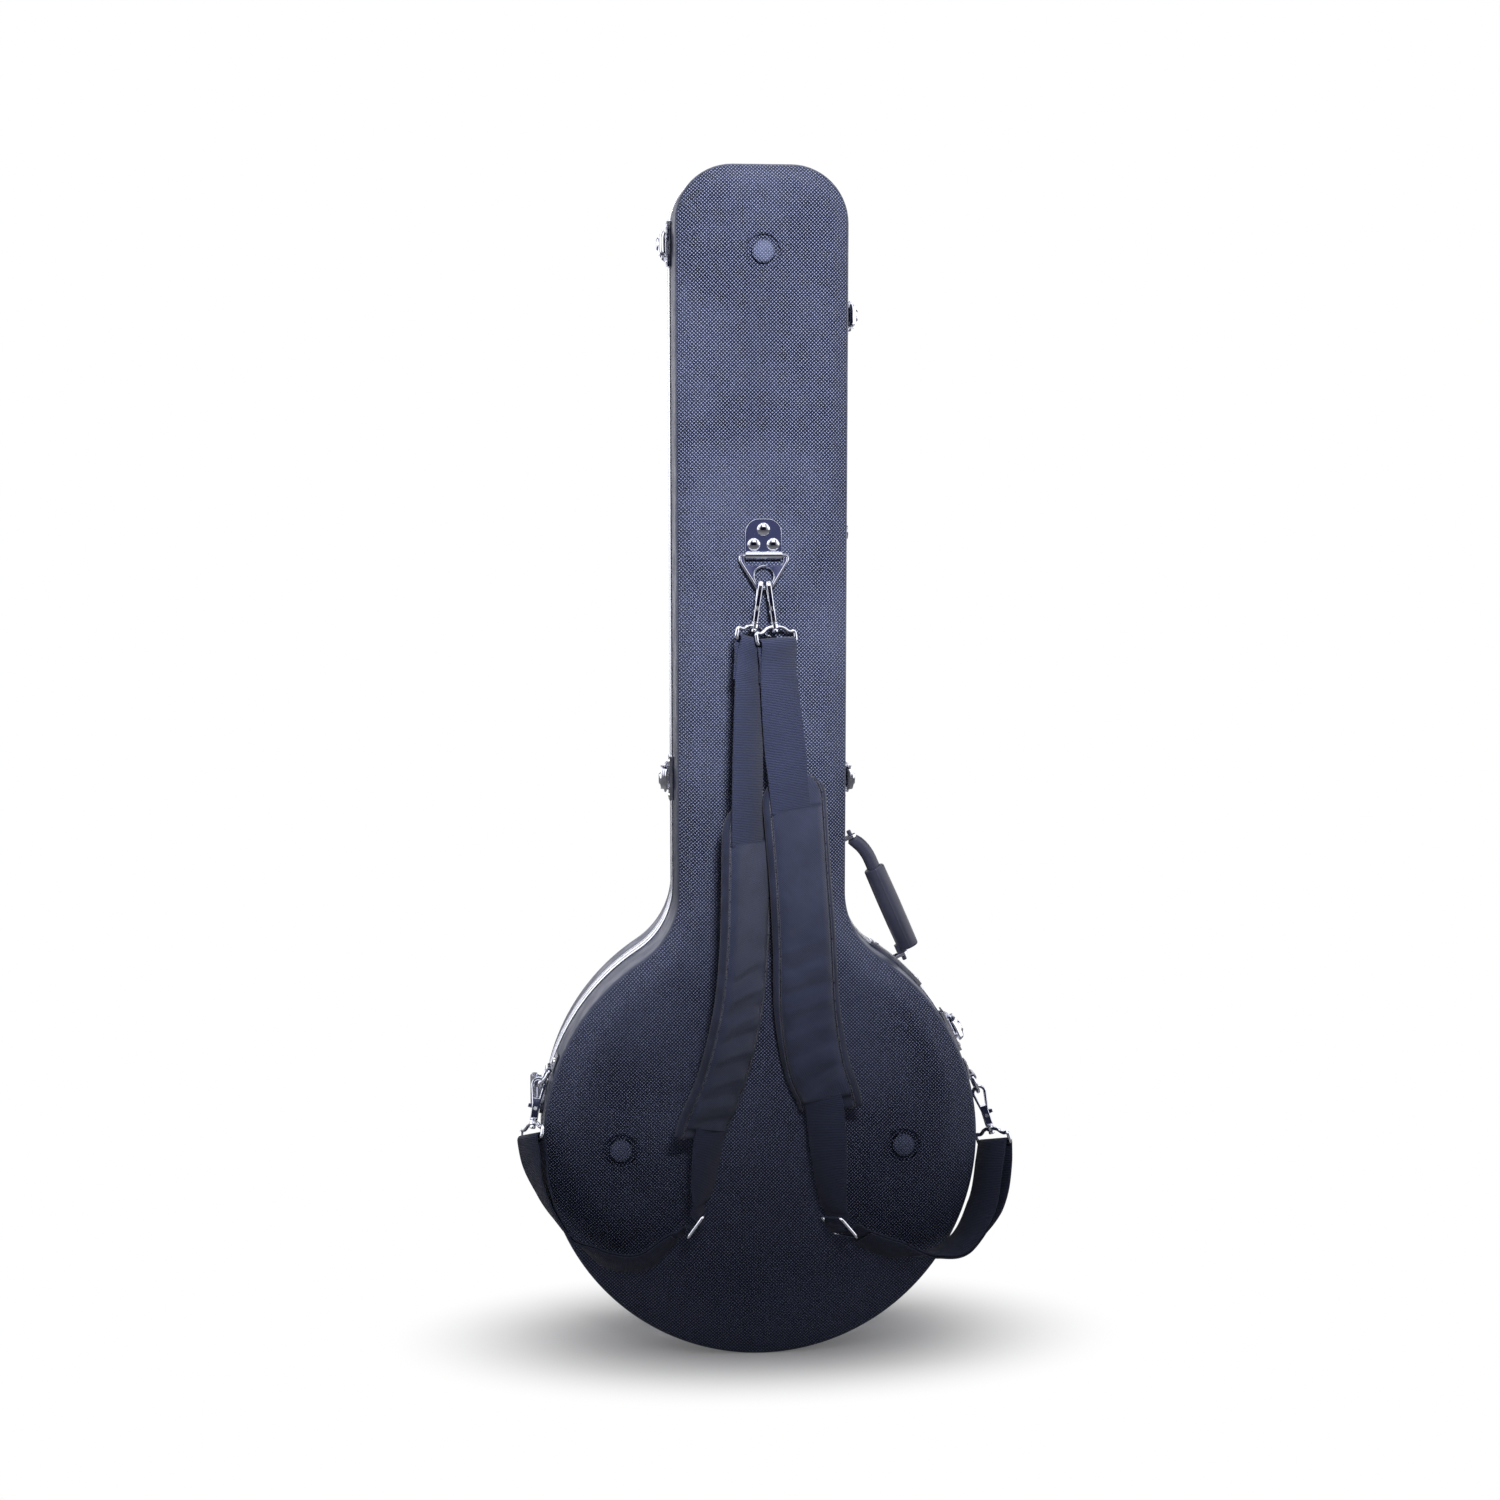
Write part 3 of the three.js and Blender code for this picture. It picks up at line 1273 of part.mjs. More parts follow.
// A shoulder pad: round at the top, nearly square at the foot, with drawn-in sides
function shoulderPad(route, from, to, shift) {
  const ends = [0, 0.04, 0.15, 0.34, 0.62, 1].map((share) => from + share * padCorner);
  const feet = [1, 0.4, 0].map((share) => to - share * padFootCorner);
  const stops = [...ends, ...spaced(ends.at(-1), feet[0], padCorner / 2).slice(1), ...feet.slice(1)];
  return loft(stops.map((s) => {
    const share = (s - from) / (to - from);
    const top = THREE.MathUtils.clamp((s - from) / padCorner, 0, 1);
    const foot = THREE.MathUtils.clamp((to - s) / padFootCorner, 0, 1);
    const rounding = Math.sqrt(1 - (1 - top) ** 2) * (1 - padBindingShare) + padBindingShare;
    const footShare = Math.sqrt(1 - (1 - foot) ** 2) * padBindingShare + 1 - padBindingShare / 2;
    const drawnIn = padTurnIn * Math.sin(Math.PI * share);
    const halfWidth = padWidth / 2 * rounding * Math.min(1, footShare) - drawnIn;
    const puff = THREE.MathUtils.lerp(padBindingShare, 1, Math.sqrt(Math.min(top, foot * 2, 1)));
    const sideways = THREE.MathUtils.lerp(shift[0], shift[1], share);
    return padRing(route.at(s), halfWidth, (padThickness / 2) * puff, sideways);
  }));
}

function slider() {
  const halfLength = sliderPitch + sliderBar / 2;
  const slotHalf = sliderHalfWidth - sliderBar;
  const outline = new THREE.Shape(polygon([
    [-sliderHalfWidth, -halfLength],
    [sliderHalfWidth, -halfLength],
    [sliderHalfWidth, halfLength],
    [-sliderHalfWidth, halfLength],
  ]));
  for (const way of [-1, 1]) {
    const near = (way * sliderBar) / 2;
    const far = way * (sliderPitch - sliderBar / 2);
    outline.holes.push(new THREE.Path(polygon([
      [-slotHalf, near],
      [slotHalf, near],
      [slotHalf, far],
      [-slotHalf, far],
    ])));
  }
  return plate(outline, sliderThickness, 0, sliderThickness / 5);
}

// Hangs a hook at a place and its loop below it, and gives the loop's bar
function hangHook(name, place, down, outward, bar) {
  const up = down.clone().negate().normalize();
  addPiece(aimedMount(place, up, outward), `snap_hook_${name}`, snapHook(), chromeFinish);
  const loopPlace = place.clone().addScaledVector(up, -hookReach);
  const loopMount = aimedMount(loopPlace, up, bar);
  addPiece(loopMount, `strap_loop_${name}`, strapLoop(), chromeFinish);
  loopMount.updateMatrixWorld(true);
  return {
    place: new THREE.Vector3(0, 0, -loopDrop).applyMatrix4(loopMount.matrixWorld),
    direction: new THREE.Vector3().setFromMatrixColumn(loopMount.matrixWorld, 0),
  };
}

for (const [side, strap] of Object.entries(straps)) {
  const way = side === 'right' ? 1 : -1;
  const underRim = ringHoleZ - Math.sqrt(ringHoleRadius ** 2 - (Math.abs(strap.hookX) + hookThickness / 2) ** 2);
  const topHook = eyePlace.clone().addScaledVector(ringDown, -underRim - fitGap - hookEdgeBevel);
  topHook.x = strap.hookX;
  const topLoop = new THREE.Vector3(strap.topLoopX, backFaceY - strap.topLoopOut, anchorZ - topLoopDrop);
  const topDown = topLoop.sub(topHook);
  const topBar = new THREE.Vector3(Math.cos(strap.topTurn), Math.sin(strap.topTurn), 0);
  const top = hangHook(`top_${side}`, topHook, topDown, new THREE.Vector3(0, -1, 0), topBar);

  const anchorMount = bodyMount(strap.sideAngle);
  addPiece(anchorMount, `side_anchor_${side}`, sideAnchor(way), chromeFinish);
  const lean = new THREE.Vector3(Math.sin(strap.dRingLean), 0, -way * Math.cos(strap.dRingLean));
  anchorMount.updateMatrixWorld(true);
  const eye = new THREE.Vector3(sideEyeX, -sideAnchorDepth, 0).applyMatrix4(anchorMount.matrixWorld);
  lean.transformDirection(anchorMount.matrixWorld);
  addPiece(aimedMount(eye, lean.clone().negate(), acrossY), `d_ring_${side}`, dRing(), chromeFinish);

  const lowDown = strap.lowHookDown.clone().normalize();
  const tilt = Math.asin(Math.abs(lowDown.y));
  const seat = (dRingWire / 2 + (hookThickness / 2) * Math.sin(tilt)) / Math.cos(tilt) + fitGap + hookSideways;
  const lowHook = eye.clone().addScaledVector(lean, dRingDrop).addScaledVector(lowDown, -seat);
  lowHook.addScaledVector(outwardX, way * hookSideways);
  const low = hangHook(`low_${side}`, lowHook, lowDown, outwardX.clone().multiplyScalar(way), strap.lowTurn);

  const inRadians = (shares) => shares.map((share) => ({
    place: stationPlace(share),
    turn: THREE.MathUtils.degToRad(share[3]),
  }));
  const upper = inRadians(strap.upperShares);
  const padStations = inRadians(strap.padShares);
  const lower = inRadians(strap.lowerShares);
  const topEnd = barStations(top.place, upper[0].place, top.direction, true).reverse();
  const lowEnd = barStations(low.place, lower.at(-1).place, low.direction, false);
  const whole = bandRoute([...topEnd, ...upper, ...padStations, ...lower, ...lowEnd]);

  const padFirst = topEnd.length + upper.length;
  const padLast = padFirst + padStations.length - 1;
  const upperEnd = whole.lengthTo(padFirst + hemIndex);
  addPiece(group, `webbing_upper_${side}`, upperWebbing(whole, upperEnd), webbingFinish);
  const padFrom = whole.lengthTo(padFirst);
  const padTo = whole.lengthTo(padLast);
  addPiece(group, `shoulder_pad_${side}`, shoulderPad(whole, padFrom, padTo, strap.padShift), padFinish);

  const lowStart = whole.lengthTo(padLast - 1);
  const rest = {
    length: whole.length - lowStart,
    at: (distance) => whole.at(lowStart + distance),
  };
  const sliderAt = whole.lengthTo(padLast + 1 + sliderIndex) - lowStart;
  addPiece(group, `webbing_lower_${side}`, lowerWebbing(rest, sliderAt, strap.fold), webbingFinish);
  const sliderFrame = rest.at(sliderAt);
  const sliderPlace = sliderFrame.place.clone().addScaledVector(sliderFrame.normal, -sliderSink);
  const sliderMount = aimedMount(sliderPlace, sliderFrame.along, sliderFrame.across);
  addPiece(sliderMount, `strap_slider_${side}`, slider(), chromeFinish);
}

export default group;
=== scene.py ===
# Hard case for a five-string banjo, with shoulder straps, standing upright on its round end.
# Metres. +Z runs up along the neck, +X is to the right seen from the back, and the lid is on +Y.
import math

import bmesh
import bpy
from mathutils import Matrix, Vector


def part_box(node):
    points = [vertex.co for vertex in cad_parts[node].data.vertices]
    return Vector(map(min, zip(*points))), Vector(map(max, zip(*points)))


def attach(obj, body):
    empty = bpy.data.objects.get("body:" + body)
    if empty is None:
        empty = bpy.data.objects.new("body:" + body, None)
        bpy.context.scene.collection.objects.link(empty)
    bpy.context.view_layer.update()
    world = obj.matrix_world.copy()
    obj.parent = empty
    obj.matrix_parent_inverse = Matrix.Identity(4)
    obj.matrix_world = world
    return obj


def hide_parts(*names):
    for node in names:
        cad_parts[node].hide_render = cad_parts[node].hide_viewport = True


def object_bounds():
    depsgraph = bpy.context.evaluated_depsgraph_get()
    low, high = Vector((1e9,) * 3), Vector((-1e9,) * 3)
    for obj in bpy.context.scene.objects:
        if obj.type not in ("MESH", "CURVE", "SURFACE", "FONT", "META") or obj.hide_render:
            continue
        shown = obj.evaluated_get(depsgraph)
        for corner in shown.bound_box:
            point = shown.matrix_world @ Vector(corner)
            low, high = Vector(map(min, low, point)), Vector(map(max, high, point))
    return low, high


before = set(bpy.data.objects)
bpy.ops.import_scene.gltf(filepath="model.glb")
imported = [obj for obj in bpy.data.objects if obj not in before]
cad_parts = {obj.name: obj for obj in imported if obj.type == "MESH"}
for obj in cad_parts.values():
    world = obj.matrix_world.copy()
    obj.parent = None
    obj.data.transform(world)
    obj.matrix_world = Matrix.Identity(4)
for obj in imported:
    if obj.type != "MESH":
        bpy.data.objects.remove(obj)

cad_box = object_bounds()

# The two half shells are vacuum formed from one sheet of navy plastic each. The back, the lid
# and their bevels are embossed with small diamonds, and the side walls are smooth. Three
# domed feet stand in round recesses that are pressed into the back.
case_length = 1.040
body_half_width = 0.194
body_half_height = 0.197
standing_flat_cut = 0.003
neck_half_top = 0.077
neck_half_foot = 0.076
top_corner_radius = 0.052
shoulder_radius = 0.069
parting_y = 0.0055
edging_width = 0.011
edging_proud = 0.0015
base_wall_depth = 0.0635
lid_wall_depth = 0.059
bevel_depth = 0.014
neck_bevel_width = 0.016
end_bevel_width = 0.040
wall_draft = 0.001
shell_thickness = 0.003
shell_foot_gap = 0.0003
wall_corner_reach = 0.005
face_corner_reach = 0.007
corner_steps = 5
face_border = 0.002

body_centre_z = body_half_height - standing_flat_cut
back_face_y = parting_y - base_wall_depth - bevel_depth
shoulder_x = neck_half_foot + shoulder_radius
shoulder_z = body_centre_z + math.sqrt((body_half_width + shoulder_radius) ** 2 - shoulder_x ** 2)
shoulder_angle = math.atan2(shoulder_z - body_centre_z, shoulder_x)


def neck_half_at(z):
    """Half the neck's width, which grows a little toward the top."""
    share = (z - shoulder_z) / (case_length - top_corner_radius - shoulder_z)
    return neck_half_foot + (neck_half_top - neck_half_foot) * share


def half_outline():
    """The right half of the case outline from the top down: place and outward direction."""
    corner, shoulder, body = 14, 22, 72
    points = []
    corner_x = neck_half_top - top_corner_radius
    corner_z = case_length - top_corner_radius
    for i in range(corner + 1):
        angle = math.pi / 2 * (1 - i / corner)
        x, z = math.cos(angle), math.sin(angle)
        points.append((corner_x + top_corner_radius * x, corner_z + top_corner_radius * z, x, z))
    for i in range(shoulder + 1):
        angle = math.pi + shoulder_angle * i / shoulder
        x, z = math.cos(angle), math.sin(angle)
        points.append((shoulder_x + shoulder_radius * x, shoulder_z + shoulder_radius * z, -x, -z))
    for i in range(1, body + 1):
        angle = shoulder_angle - (shoulder_angle + math.pi / 2) * i / body
        x, z = math.cos(angle), math.sin(angle)
        reach = body_half_height if z < 0 else body_half_width
        points.append((body_half_width * x, body_centre_z + reach * z, x, z))
    return points


outline = half_outline()


def case_ring(place_at, level=0.0):
    """The outline moved inward. place_at(z) gives the depth and the inset at that height."""
    right = []
    for x, z, out_x, out_z in outline:
        y, inset = place_at(z)
        right.append(Vector((x - out_x * inset, y, max(z - out_z * inset, level))))
    return right + [Vector((-p.x, p.y, p.z)) for p in reversed(right[:-1])]


def loft(rings, closed=False):
    """Points and faces of a skin through rings of equal count."""
    count = len(rings[0])
    points = [p for ring in rings for p in ring]
    faces = []
    for i in range(len(rings) if closed else len(rings) - 1):
        near, far = i * count, (i + 1) % len(rings) * count
        for j in range(count):
            k = (j + 1) % count
            faces.append((near + j, near + k, far + k, far + j))
    if not closed:
        faces.append(tuple(reversed(range(count))))
        faces.append(tuple(range(len(points) - count, len(points))))
    return points, faces


def merged(*parts):
    """Several sets of points and faces as one."""
    points, faces = [], []
    for part_points, part_faces in parts:
        start = len(points)
        points += part_points
        faces += [tuple(start + i for i in face) for face in part_faces]
    return points, faces


def new_object(name, points, faces):
    mesh = bpy.data.meshes.new(name)
    mesh.from_pydata([tuple(p) for p in points], [], faces)
    made = bmesh.new()
    made.from_mesh(mesh)
    bmesh.ops.recalc_face_normals(made, faces=made.faces)
    made.to_mesh(mesh)
    made.free()
    piece = bpy.data.objects.new(name, mesh)
    bpy.context.collection.objects.link(piece)
    return piece


def applied(piece):
    """Makes the modifiers of a piece part of its mesh."""
    graph = bpy.context.evaluated_depsgraph_get()
    mesh = bpy.data.meshes.new_from_object(piece.evaluated_get(graph))
    piece.modifiers.clear()
    piece.data = mesh
    return piece


def fitted(piece, finish, slot, body, *nodes, crease=35):
    """Smooth shading and finish of a piece, what it stands for and what it rides on. The slot is not used.
    """
    piece.data.materials.clear()
    piece.data.materials.append(finish)
    for face in piece.data.polygons:
        face.use_smooth = True
        face.material_index = 0
    piece.data.set_sharp_from_angle(angle=math.radians(crease))
    if nodes:
        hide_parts(*nodes)
    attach(piece, body)
    return piece


def shade(red, green, blue):
    """A written colour, 0 to 255, as the shader takes it."""
    def linear(value):
        value /= 255
        return value / 12.92 if value <= 0.04045 else ((value + 0.055) / 1.055) ** 2.4
    return (linear(red), linear(green), linear(blue), 1.0)


class Nodes:
    """Short ways to add and join the nodes of a material or of the studio."""

    def __init__(self, tree):
        self.tree = tree

    def put(self, value, socket):
        if isinstance(value, bpy.types.NodeSocket):
            self.tree.links.new(value, socket)
        elif value is not None:
            socket.default_value = value

    def node(self, kind, **inputs):
        made = self.tree.nodes.new("ShaderNode" + kind)
        for name, value in inputs.items():
            self.put(value, made.inputs[name.replace("_", " ")])
        return made

    def joined(self, kind, *values):
        """A shader node with its first sockets filled in order."""
        made = self.node(kind)
        for value, socket in zip(values, made.inputs):
            self.put(value, socket)
        return made.outputs[0]

    def maths(self, operation, first, second=None):
        made = self.node("Math")
        made.operation = operation
        self.put(first, made.inputs[0])
        self.put(second, made.inputs[1])
        return made.outputs[0]

    def plus(self, first, second):
        return self.maths("ADD", first, second)

    def less(self, first, second):
        return self.maths("SUBTRACT", first, second)

    def times(self, first, second):
        return self.maths("MULTIPLY", first, second)

    def ribs(self, turns):
        """Round ribs side by side, one for each turn of a half wave."""
        return self.maths("ABSOLUTE", self.maths("SINE", turns))

    def ramp(self, value, low, high, low_to=0.0, high_to=1.0):
        made = self.node("MapRange", Value=value, From_Min=low, From_Max=high, To_Min=low_to, To_Max=high_to)
        made.interpolation_type = "SMOOTHSTEP"
        return made.outputs["Result"]

    def tint(self, share, low, high):
        made = self.node("Mix")
        made.data_type = "RGBA"
        self.put(share, made.inputs[0])
        made.inputs[6].default_value = low
        made.inputs[7].default_value = high
        return made.outputs[2]


class Finish(Nodes):
    """A material with one Principled shader."""

    def __init__(self, name, colour, roughness, metallic=0.0, **sockets):
        self.material = bpy.data.materials.new(name)
        self.material.use_nodes = True
        super().__init__(self.material.node_tree)
        self.shader = self.tree.nodes["Principled BSDF"]
        self.shader.inputs["Base Color"].default_value = colour
        self.shader.inputs["Roughness"].default_value = roughness
        self.shader.inputs["Metallic"].default_value = metallic
        for socket, value in sockets.items():
            self.shader.inputs[socket.replace("_", " ")].default_value = value

    def place(self):
        return self.node("TexCoord").outputs["Object"]

    def noise(self, scale, detail=3.0, vector=None):
        made = self.node("TexNoise", Vector=vector or self.place(), Scale=scale, Detail=detail)
        return made.outputs["Fac"]

    def mark(self, name):
        """A value that the mesh carries at its points."""
        made = self.node("Attribute")
        made.attribute_name = name
        return made.outputs["Fac"]

    def bump(self, height, distance, strength=1.0, normal=None):
        made = self.node("Bump", Height=height, Distance=distance, Strength=strength, Normal=normal)
        self.put(made.outputs[0], self.shader.inputs["Normal"])

    def colour(self, socket):
        self.put(socket, self.shader.inputs["Base Color"])

    def rough(self, socket):
        self.put(socket, self.shader.inputs["Roughness"])


def embossed_plastic():
    """Navy sheet plastic, with a staggered field of small diamonds on the faces and bevels. The diamonds are
    painted light and the hollows between them dark, as painted highlight and shade of the emboss.
    """
    pitch = 0.0031
    diamond_edge, diamond_core = 0.42, 0.16
    mid_depth = 0.003
    smooth_until, emboss_from = 0.0612, 0.0622
    dome_low, dome_high = -0.0728, -0.0752
    smooth_share, dome_painted_highlight, cloud_share = 0.28, 0.35, 0.16
    painted_valley_shade, crown = shade(1, 1, 4), shade(101, 108, 136)
    finish = Finish("embossed_plastic", shade(50, 53, 78), 0.42,
                    Specular_IOR_Level=0.4, Specular_Tint=shade(200, 210, 255))
    place = finish.node("SeparateXYZ", Vector=finish.place()).outputs
    across = finish.maths("DIVIDE", place["X"], pitch)
    up = finish.maths("DIVIDE", place["Z"], pitch)
    sides = [
        finish.maths("ABSOLUTE", finish.less(finish.maths("FRACT", way), 0.5))
        for way in (finish.plus(across, up), finish.less(across, up))
    ]
    diamond = finish.ramp(finish.maths("MAXIMUM", *sides), diamond_edge, diamond_core)
    depth = finish.maths("ABSOLUTE", finish.less(place["Y"], mid_depth))
    embossed = finish.ramp(depth, smooth_until, emboss_from)
    raised = finish.times(diamond, embossed)
    light = finish.plus(raised, finish.times(finish.less(1.0, embossed), smooth_share))
    # The feet's domes, which stand proud of the back, get a painted highlight.
    light = finish.plus(light, finish.ramp(place["Y"], dome_low, dome_high, 0.0, dome_painted_highlight))
    cloudy = finish.ramp(finish.noise(9.0), 0.35, 0.7, 0.0, cloud_share)
    # Painted highlight on the raised diamonds and painted shade in the hollows; the smooth walls take a
    # plain tone between them, with random clouding.
    finish.colour(finish.tint(finish.plus(light, cloudy), painted_valley_shade, crown))
    finish.rough(finish.ramp(finish.noise(60.0), 0.3, 0.7, 0.38, 0.5))
    finish.bump(raised, 0.0009)
    return finish.material


shell_plastic = embossed_plastic()


def bevel_inset_at(z):
    """Inset of the flat face, which grows from the neck to the round end."""
    down = min(max((shoulder_z - z) / shoulder_z, 0), 1)
    share = down * down * (3 - 2 * down)
    return edging_proud + wall_draft + neck_bevel_width + (end_bevel_width - neck_bevel_width) * share


def bend(start, corner, end, t):
    """A point of the soft bend that rounds a corner off."""
    return start * (1 - t) ** 2 + corner * 2 * t * (1 - t) + end * t ** 2


def shell_rings(side, wall_depth):
    """Rings from the border of the flat face round the bevel to the edging, and back inside."""
    edge = edging_proud + wall_draft
    foot = edging_width + shell_foot_gap
    face_depth = wall_depth + bevel_depth

    def outside(z):
        """Depth and inset: border of the face, its corner, the wall's corner, and the foot."""
        wall = Vector((wall_depth, edge))
        face = Vector((face_depth, bevel_inset_at(z)))
        slope = (face - wall).normalized()
        corners = (
            (face + Vector((0, face_corner_reach)), face, face - slope * face_corner_reach),
            (wall + slope * wall_corner_reach, wall, wall - Vector((wall_corner_reach, 0))),
        )
        points = [face + Vector((0, face_corner_reach + face_border))]
        for corner in corners:
            points += [bend(*corner, i / corner_steps) for i in range(corner_steps + 1)]
        return points + [Vector((foot, edging_proud))]

    def outer(step):
        def place_at(z):
            depth, inset = outside(z)[step]
            return parting_y + side * depth, inset
        return case_ring(place_at)

    def inner(depth, inset_at):
        level = edging_proud + shell_thickness
        return case_ring(lambda z: (parting_y + side * depth, inset_at(z) + shell_thickness), level)

    rings = [outer(step) for step in range(2 * corner_steps + 4)]
    rings.append(inner(foot, lambda z: edging_proud))
    rings.append(inner(wall_depth, lambda z: edge))
    rings.append(inner(face_depth - shell_thickness, bevel_inset_at))
    return rings


foot_radius = 0.0103
foot_recess_radius = 0.0140
foot_recess_depth = 0.0026
foot_proud = 0.004
foot_lip = 0.0012
foot_root = 0.001
foot_bead = 0.0006
foot_bead_ring = foot_recess_radius + foot_lip * 1.6
foot_places = [(0.0, 0.963), (-0.124, 0.190), (0.124, 0.190)]


def circle(centre, side, other, radius, count):
    """Points round a centre, from one side toward the other."""
    angles = [2 * math.pi * i / count for i in range(count)]
    return [centre + (side * math.cos(a) + other * math.sin(a)) * radius for a in angles]


def lathe(profile, centre, axis, sides=48):
    """A skin turned round an axis. The profile is pairs of radius and height along the axis."""
    axis = Vector(axis).normalized()
    side = axis.orthogonal().normalized()
    other = axis.cross(side)
    return loft([
        circle(Vector(centre) + axis * height, side, other, max(radius, 1e-5), sides)
        for radius, height in profile
    ])


def wire(path, radius, closed=False, sides=16):
    """A round bar along a path."""
    count = len(path)
    runs = []
    for i in range(count):
        before = path[i - 1] if closed or i else path[0]
        after = path[(i + 1) % count] if closed or i < count - 1 else path[-1]
        runs.append((after - before).normalized())
    side = runs[0].orthogonal().normalized()
    rings = []
    for point, run in zip(path, runs):
        side = (side - run * side.dot(run)).normalized()
        rings.append(circle(point, side, run.cross(side), radius, sides))
    return loft(rings, closed)


def arc(radius, height, steps, sink=0.0):
    """Profile of a low dome from its rim to its crown, with a root below it."""
    rim = [(radius, -sink)] if sink else []
    angles = [math.pi / 2 * i / steps for i in range(steps + 1)]
    return rim + [(radius * math.cos(a), height * math.sin(a)) for a in angles]


def back_shell():
    """The moulded back with its recesses cut, and with the feet and the beads round them."""
    shell = new_object("moulded_back", *loft(shell_rings(-1, base_wall_depth)))
    floor = back_face_y + foot_recess_depth
    lip_steps = 4
    recess = [(foot_recess_radius, 0.0), (foot_recess_radius, foot_recess_depth - foot_lip)]
    for i in range(1, lip_steps + 1):
        angle = math.pi / 2 * i / lip_steps
        out = foot_recess_radius + foot_lip * (1 - math.cos(angle))
        recess.append((out, foot_recess_depth - foot_lip * (1 - math.sin(angle))))
    recess.append((recess[-1][0] + foot_lip, foot_recess_depth + foot_root))
    dome = [(radius, height + foot_recess_depth) for radius, height in arc(foot_radius, foot_proud, 10)]
    dome.insert(0, (foot_radius, -foot_root))
    right, up = Vector((1, 0, 0)), Vector((0, 0, 1))
    cutters, domes = [], []
    for x, z in foot_places:
        cutters.append(lathe(recess, (x, floor, z), (0, -1, 0)))
        domes.append(lathe(dome, (x, floor, z), (0, -1, 0)))
        rim = circle(Vector((x, back_face_y + foot_bead / 4, z)), right, up, foot_bead_ring, 48)
        domes.append(wire(rim, foot_bead, True, 10))
    cutter = new_object("recess_cutter", *merged(*cutters))
    cut = shell.modifiers.new("recesses", "BOOLEAN")
    cut.object = cutter
    cut.solver = "EXACT"
    applied(shell)
    bpy.data.objects.remove(cutter)
    points, faces = merged(*domes)
    mesh = bmesh.new()
    mesh.from_mesh(shell.data)
    made = [mesh.verts.new(p) for p in points]
    for face in faces:
        mesh.faces.new([made[i] for i in face])
    bmesh.ops.recalc_face_normals(mesh, faces=mesh.faces)
    mesh.to_mesh(shell.data)
    mesh.free()
    return shell


def flat_faces(piece):
    """The broad flat faces keep their own straight shading."""
    for face in piece.data.polygons:
        if len(face.vertices) > 4:
            face.use_smooth = False


back = fitted(back_shell(), shell_plastic, "shell", "case", "back_shell", crease=50)
flat_faces(back)
front = new_object("moulded_lid", *loft(shell_rings(1, lid_wall_depth)))
fitted(front, shell_plastic, "shell", "lid", "front_shell", crease=50)
flat_faces(front)

# The edging is a drawn aluminium profile, bent round each half and screwed through the shell.
# The two halves meet in a tongue and groove, which shows as a thin dark line.
edging_web = 0.007
edging_lip = 0.0012
edging_edge = 0.0006
edging_web_thickness = 0.002
channel_depth = 0.0004
channel_from = 0.0046
channel_to = 0.0078
channel_slope = 0.0006
half_gap = 0.00015


def edging_profile():
    """Inset and depth round the section of one half, with a shallow channel in its face."""
    return [
        (edging_edge, edging_width),
        (0.0, edging_width - edging_edge),
        (0.0, channel_to),
        (channel_depth, channel_to - channel_slope),
        (channel_depth, channel_from + channel_slope),
        (0.0, channel_from),
        (0.0, half_gap + edging_edge),
        (edging_edge, half_gap),
        (edging_web, half_gap),
        (edging_web, half_gap + edging_web_thickness),
        (edging_lip, half_gap + edging_web_thickness),
        (edging_lip, edging_width),
    ]


def brushed_aluminium():
    finish = Finish("brushed_aluminium", shade(220, 222, 232), 0.3, 0.8)
    streaks = finish.node("Mapping", Vector=finish.place())
    streaks.inputs["Scale"].default_value = (1.0, 14.0, 1.0)
    drawn = finish.noise(180.0, 4.0, streaks.outputs[0])
    finish.rough(finish.ramp(drawn, 0.3, 0.7, 0.24, 0.34))
    finish.colour(finish.tint(drawn, shade(232, 234, 242), shade(246, 247, 252)))
    finish.bump(drawn, 0.000015)
    return finish.material


edging_metal = brushed_aluminium()
for half, side, body in (("base", -1, "case"), ("lid", 1, "lid")):
    rings = [
        case_ring(lambda z, i=inset, d=depth: (parting_y + side * d, i), inset)
        for inset, depth in edging_profile()
    ]
    profile = new_object(f"{half}_profile", *loft(rings, closed=True))
    fitted(profile, edging_metal, "edging", body, f"{half}_edging")

# The linings are blocks of soft foam, cut out for the pot, the neck and the headstock and
# covered in navy plush that is glued on. The plush rounds every rim.
plush_voxel = 0.004
plush_smoothing = 4


def plush():
    finish = Finish("plush", shade(38, 40, 56), 0.95, Sheen_Weight=0.6, Sheen_Roughness=0.4)
    pile = finish.noise(900.0, 2.0)
    nap = finish.noise(22.0)
    finish.colour(finish.tint(finish.times(pile, nap), shade(24, 25, 38), shade(66, 69, 94)))
    finish.bump(pile, 0.0006)
    return finish.material


plush_pile = plush()


def lined(name, node):
    """The foam block of a node with its rims rounded under the plush."""
    block = bpy.data.objects.new(name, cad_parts[node].data.copy())
    bpy.context.collection.objects.link(block)
    block.data.materials.clear()
    skin = block.modifiers.new("skin", "REMESH")
    skin.mode = "VOXEL"
    skin.voxel_size = plush_voxel
    soft = block.modifiers.new("soft", "SMOOTH")
    soft.factor = 0.5
    soft.iterations = plush_smoothing
    return applied(block)


for half, body in (("base", "case"), ("lid", "lid")):
    node = f"{half}_lining"
    lining = fitted(lined(f"plush_{half}", node), plush_pile, "lining", body, node, crease=180)

# The cover of the accessory compartment is a board wrapped in the same plush. It has a short
# ribbon to lift it by, and turns on a strip of plush along its left edge.
cover_low, cover_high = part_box("accessory_lid")
cover_edge = 0.0016
ribbon_half = 0.007
ribbon_reach = 0.016
ribbon_thickness = 0.0008


def rounded_slab(name, low, high, edge):
    """A block between two corners, with soft edges."""
    around = ((low[0], low[2]), (high[0], low[2]), (high[0], high[2]), (low[0], high[2]))
    rings = [[Vector((x, y, z)) for x, z in around] for y in (low[1], high[1])]
    block = new_object(name, *loft(rings))
    soft = block.modifiers.new("edges", "BEVEL")
    soft.width = edge
    soft.segments = 3
    return applied(block)


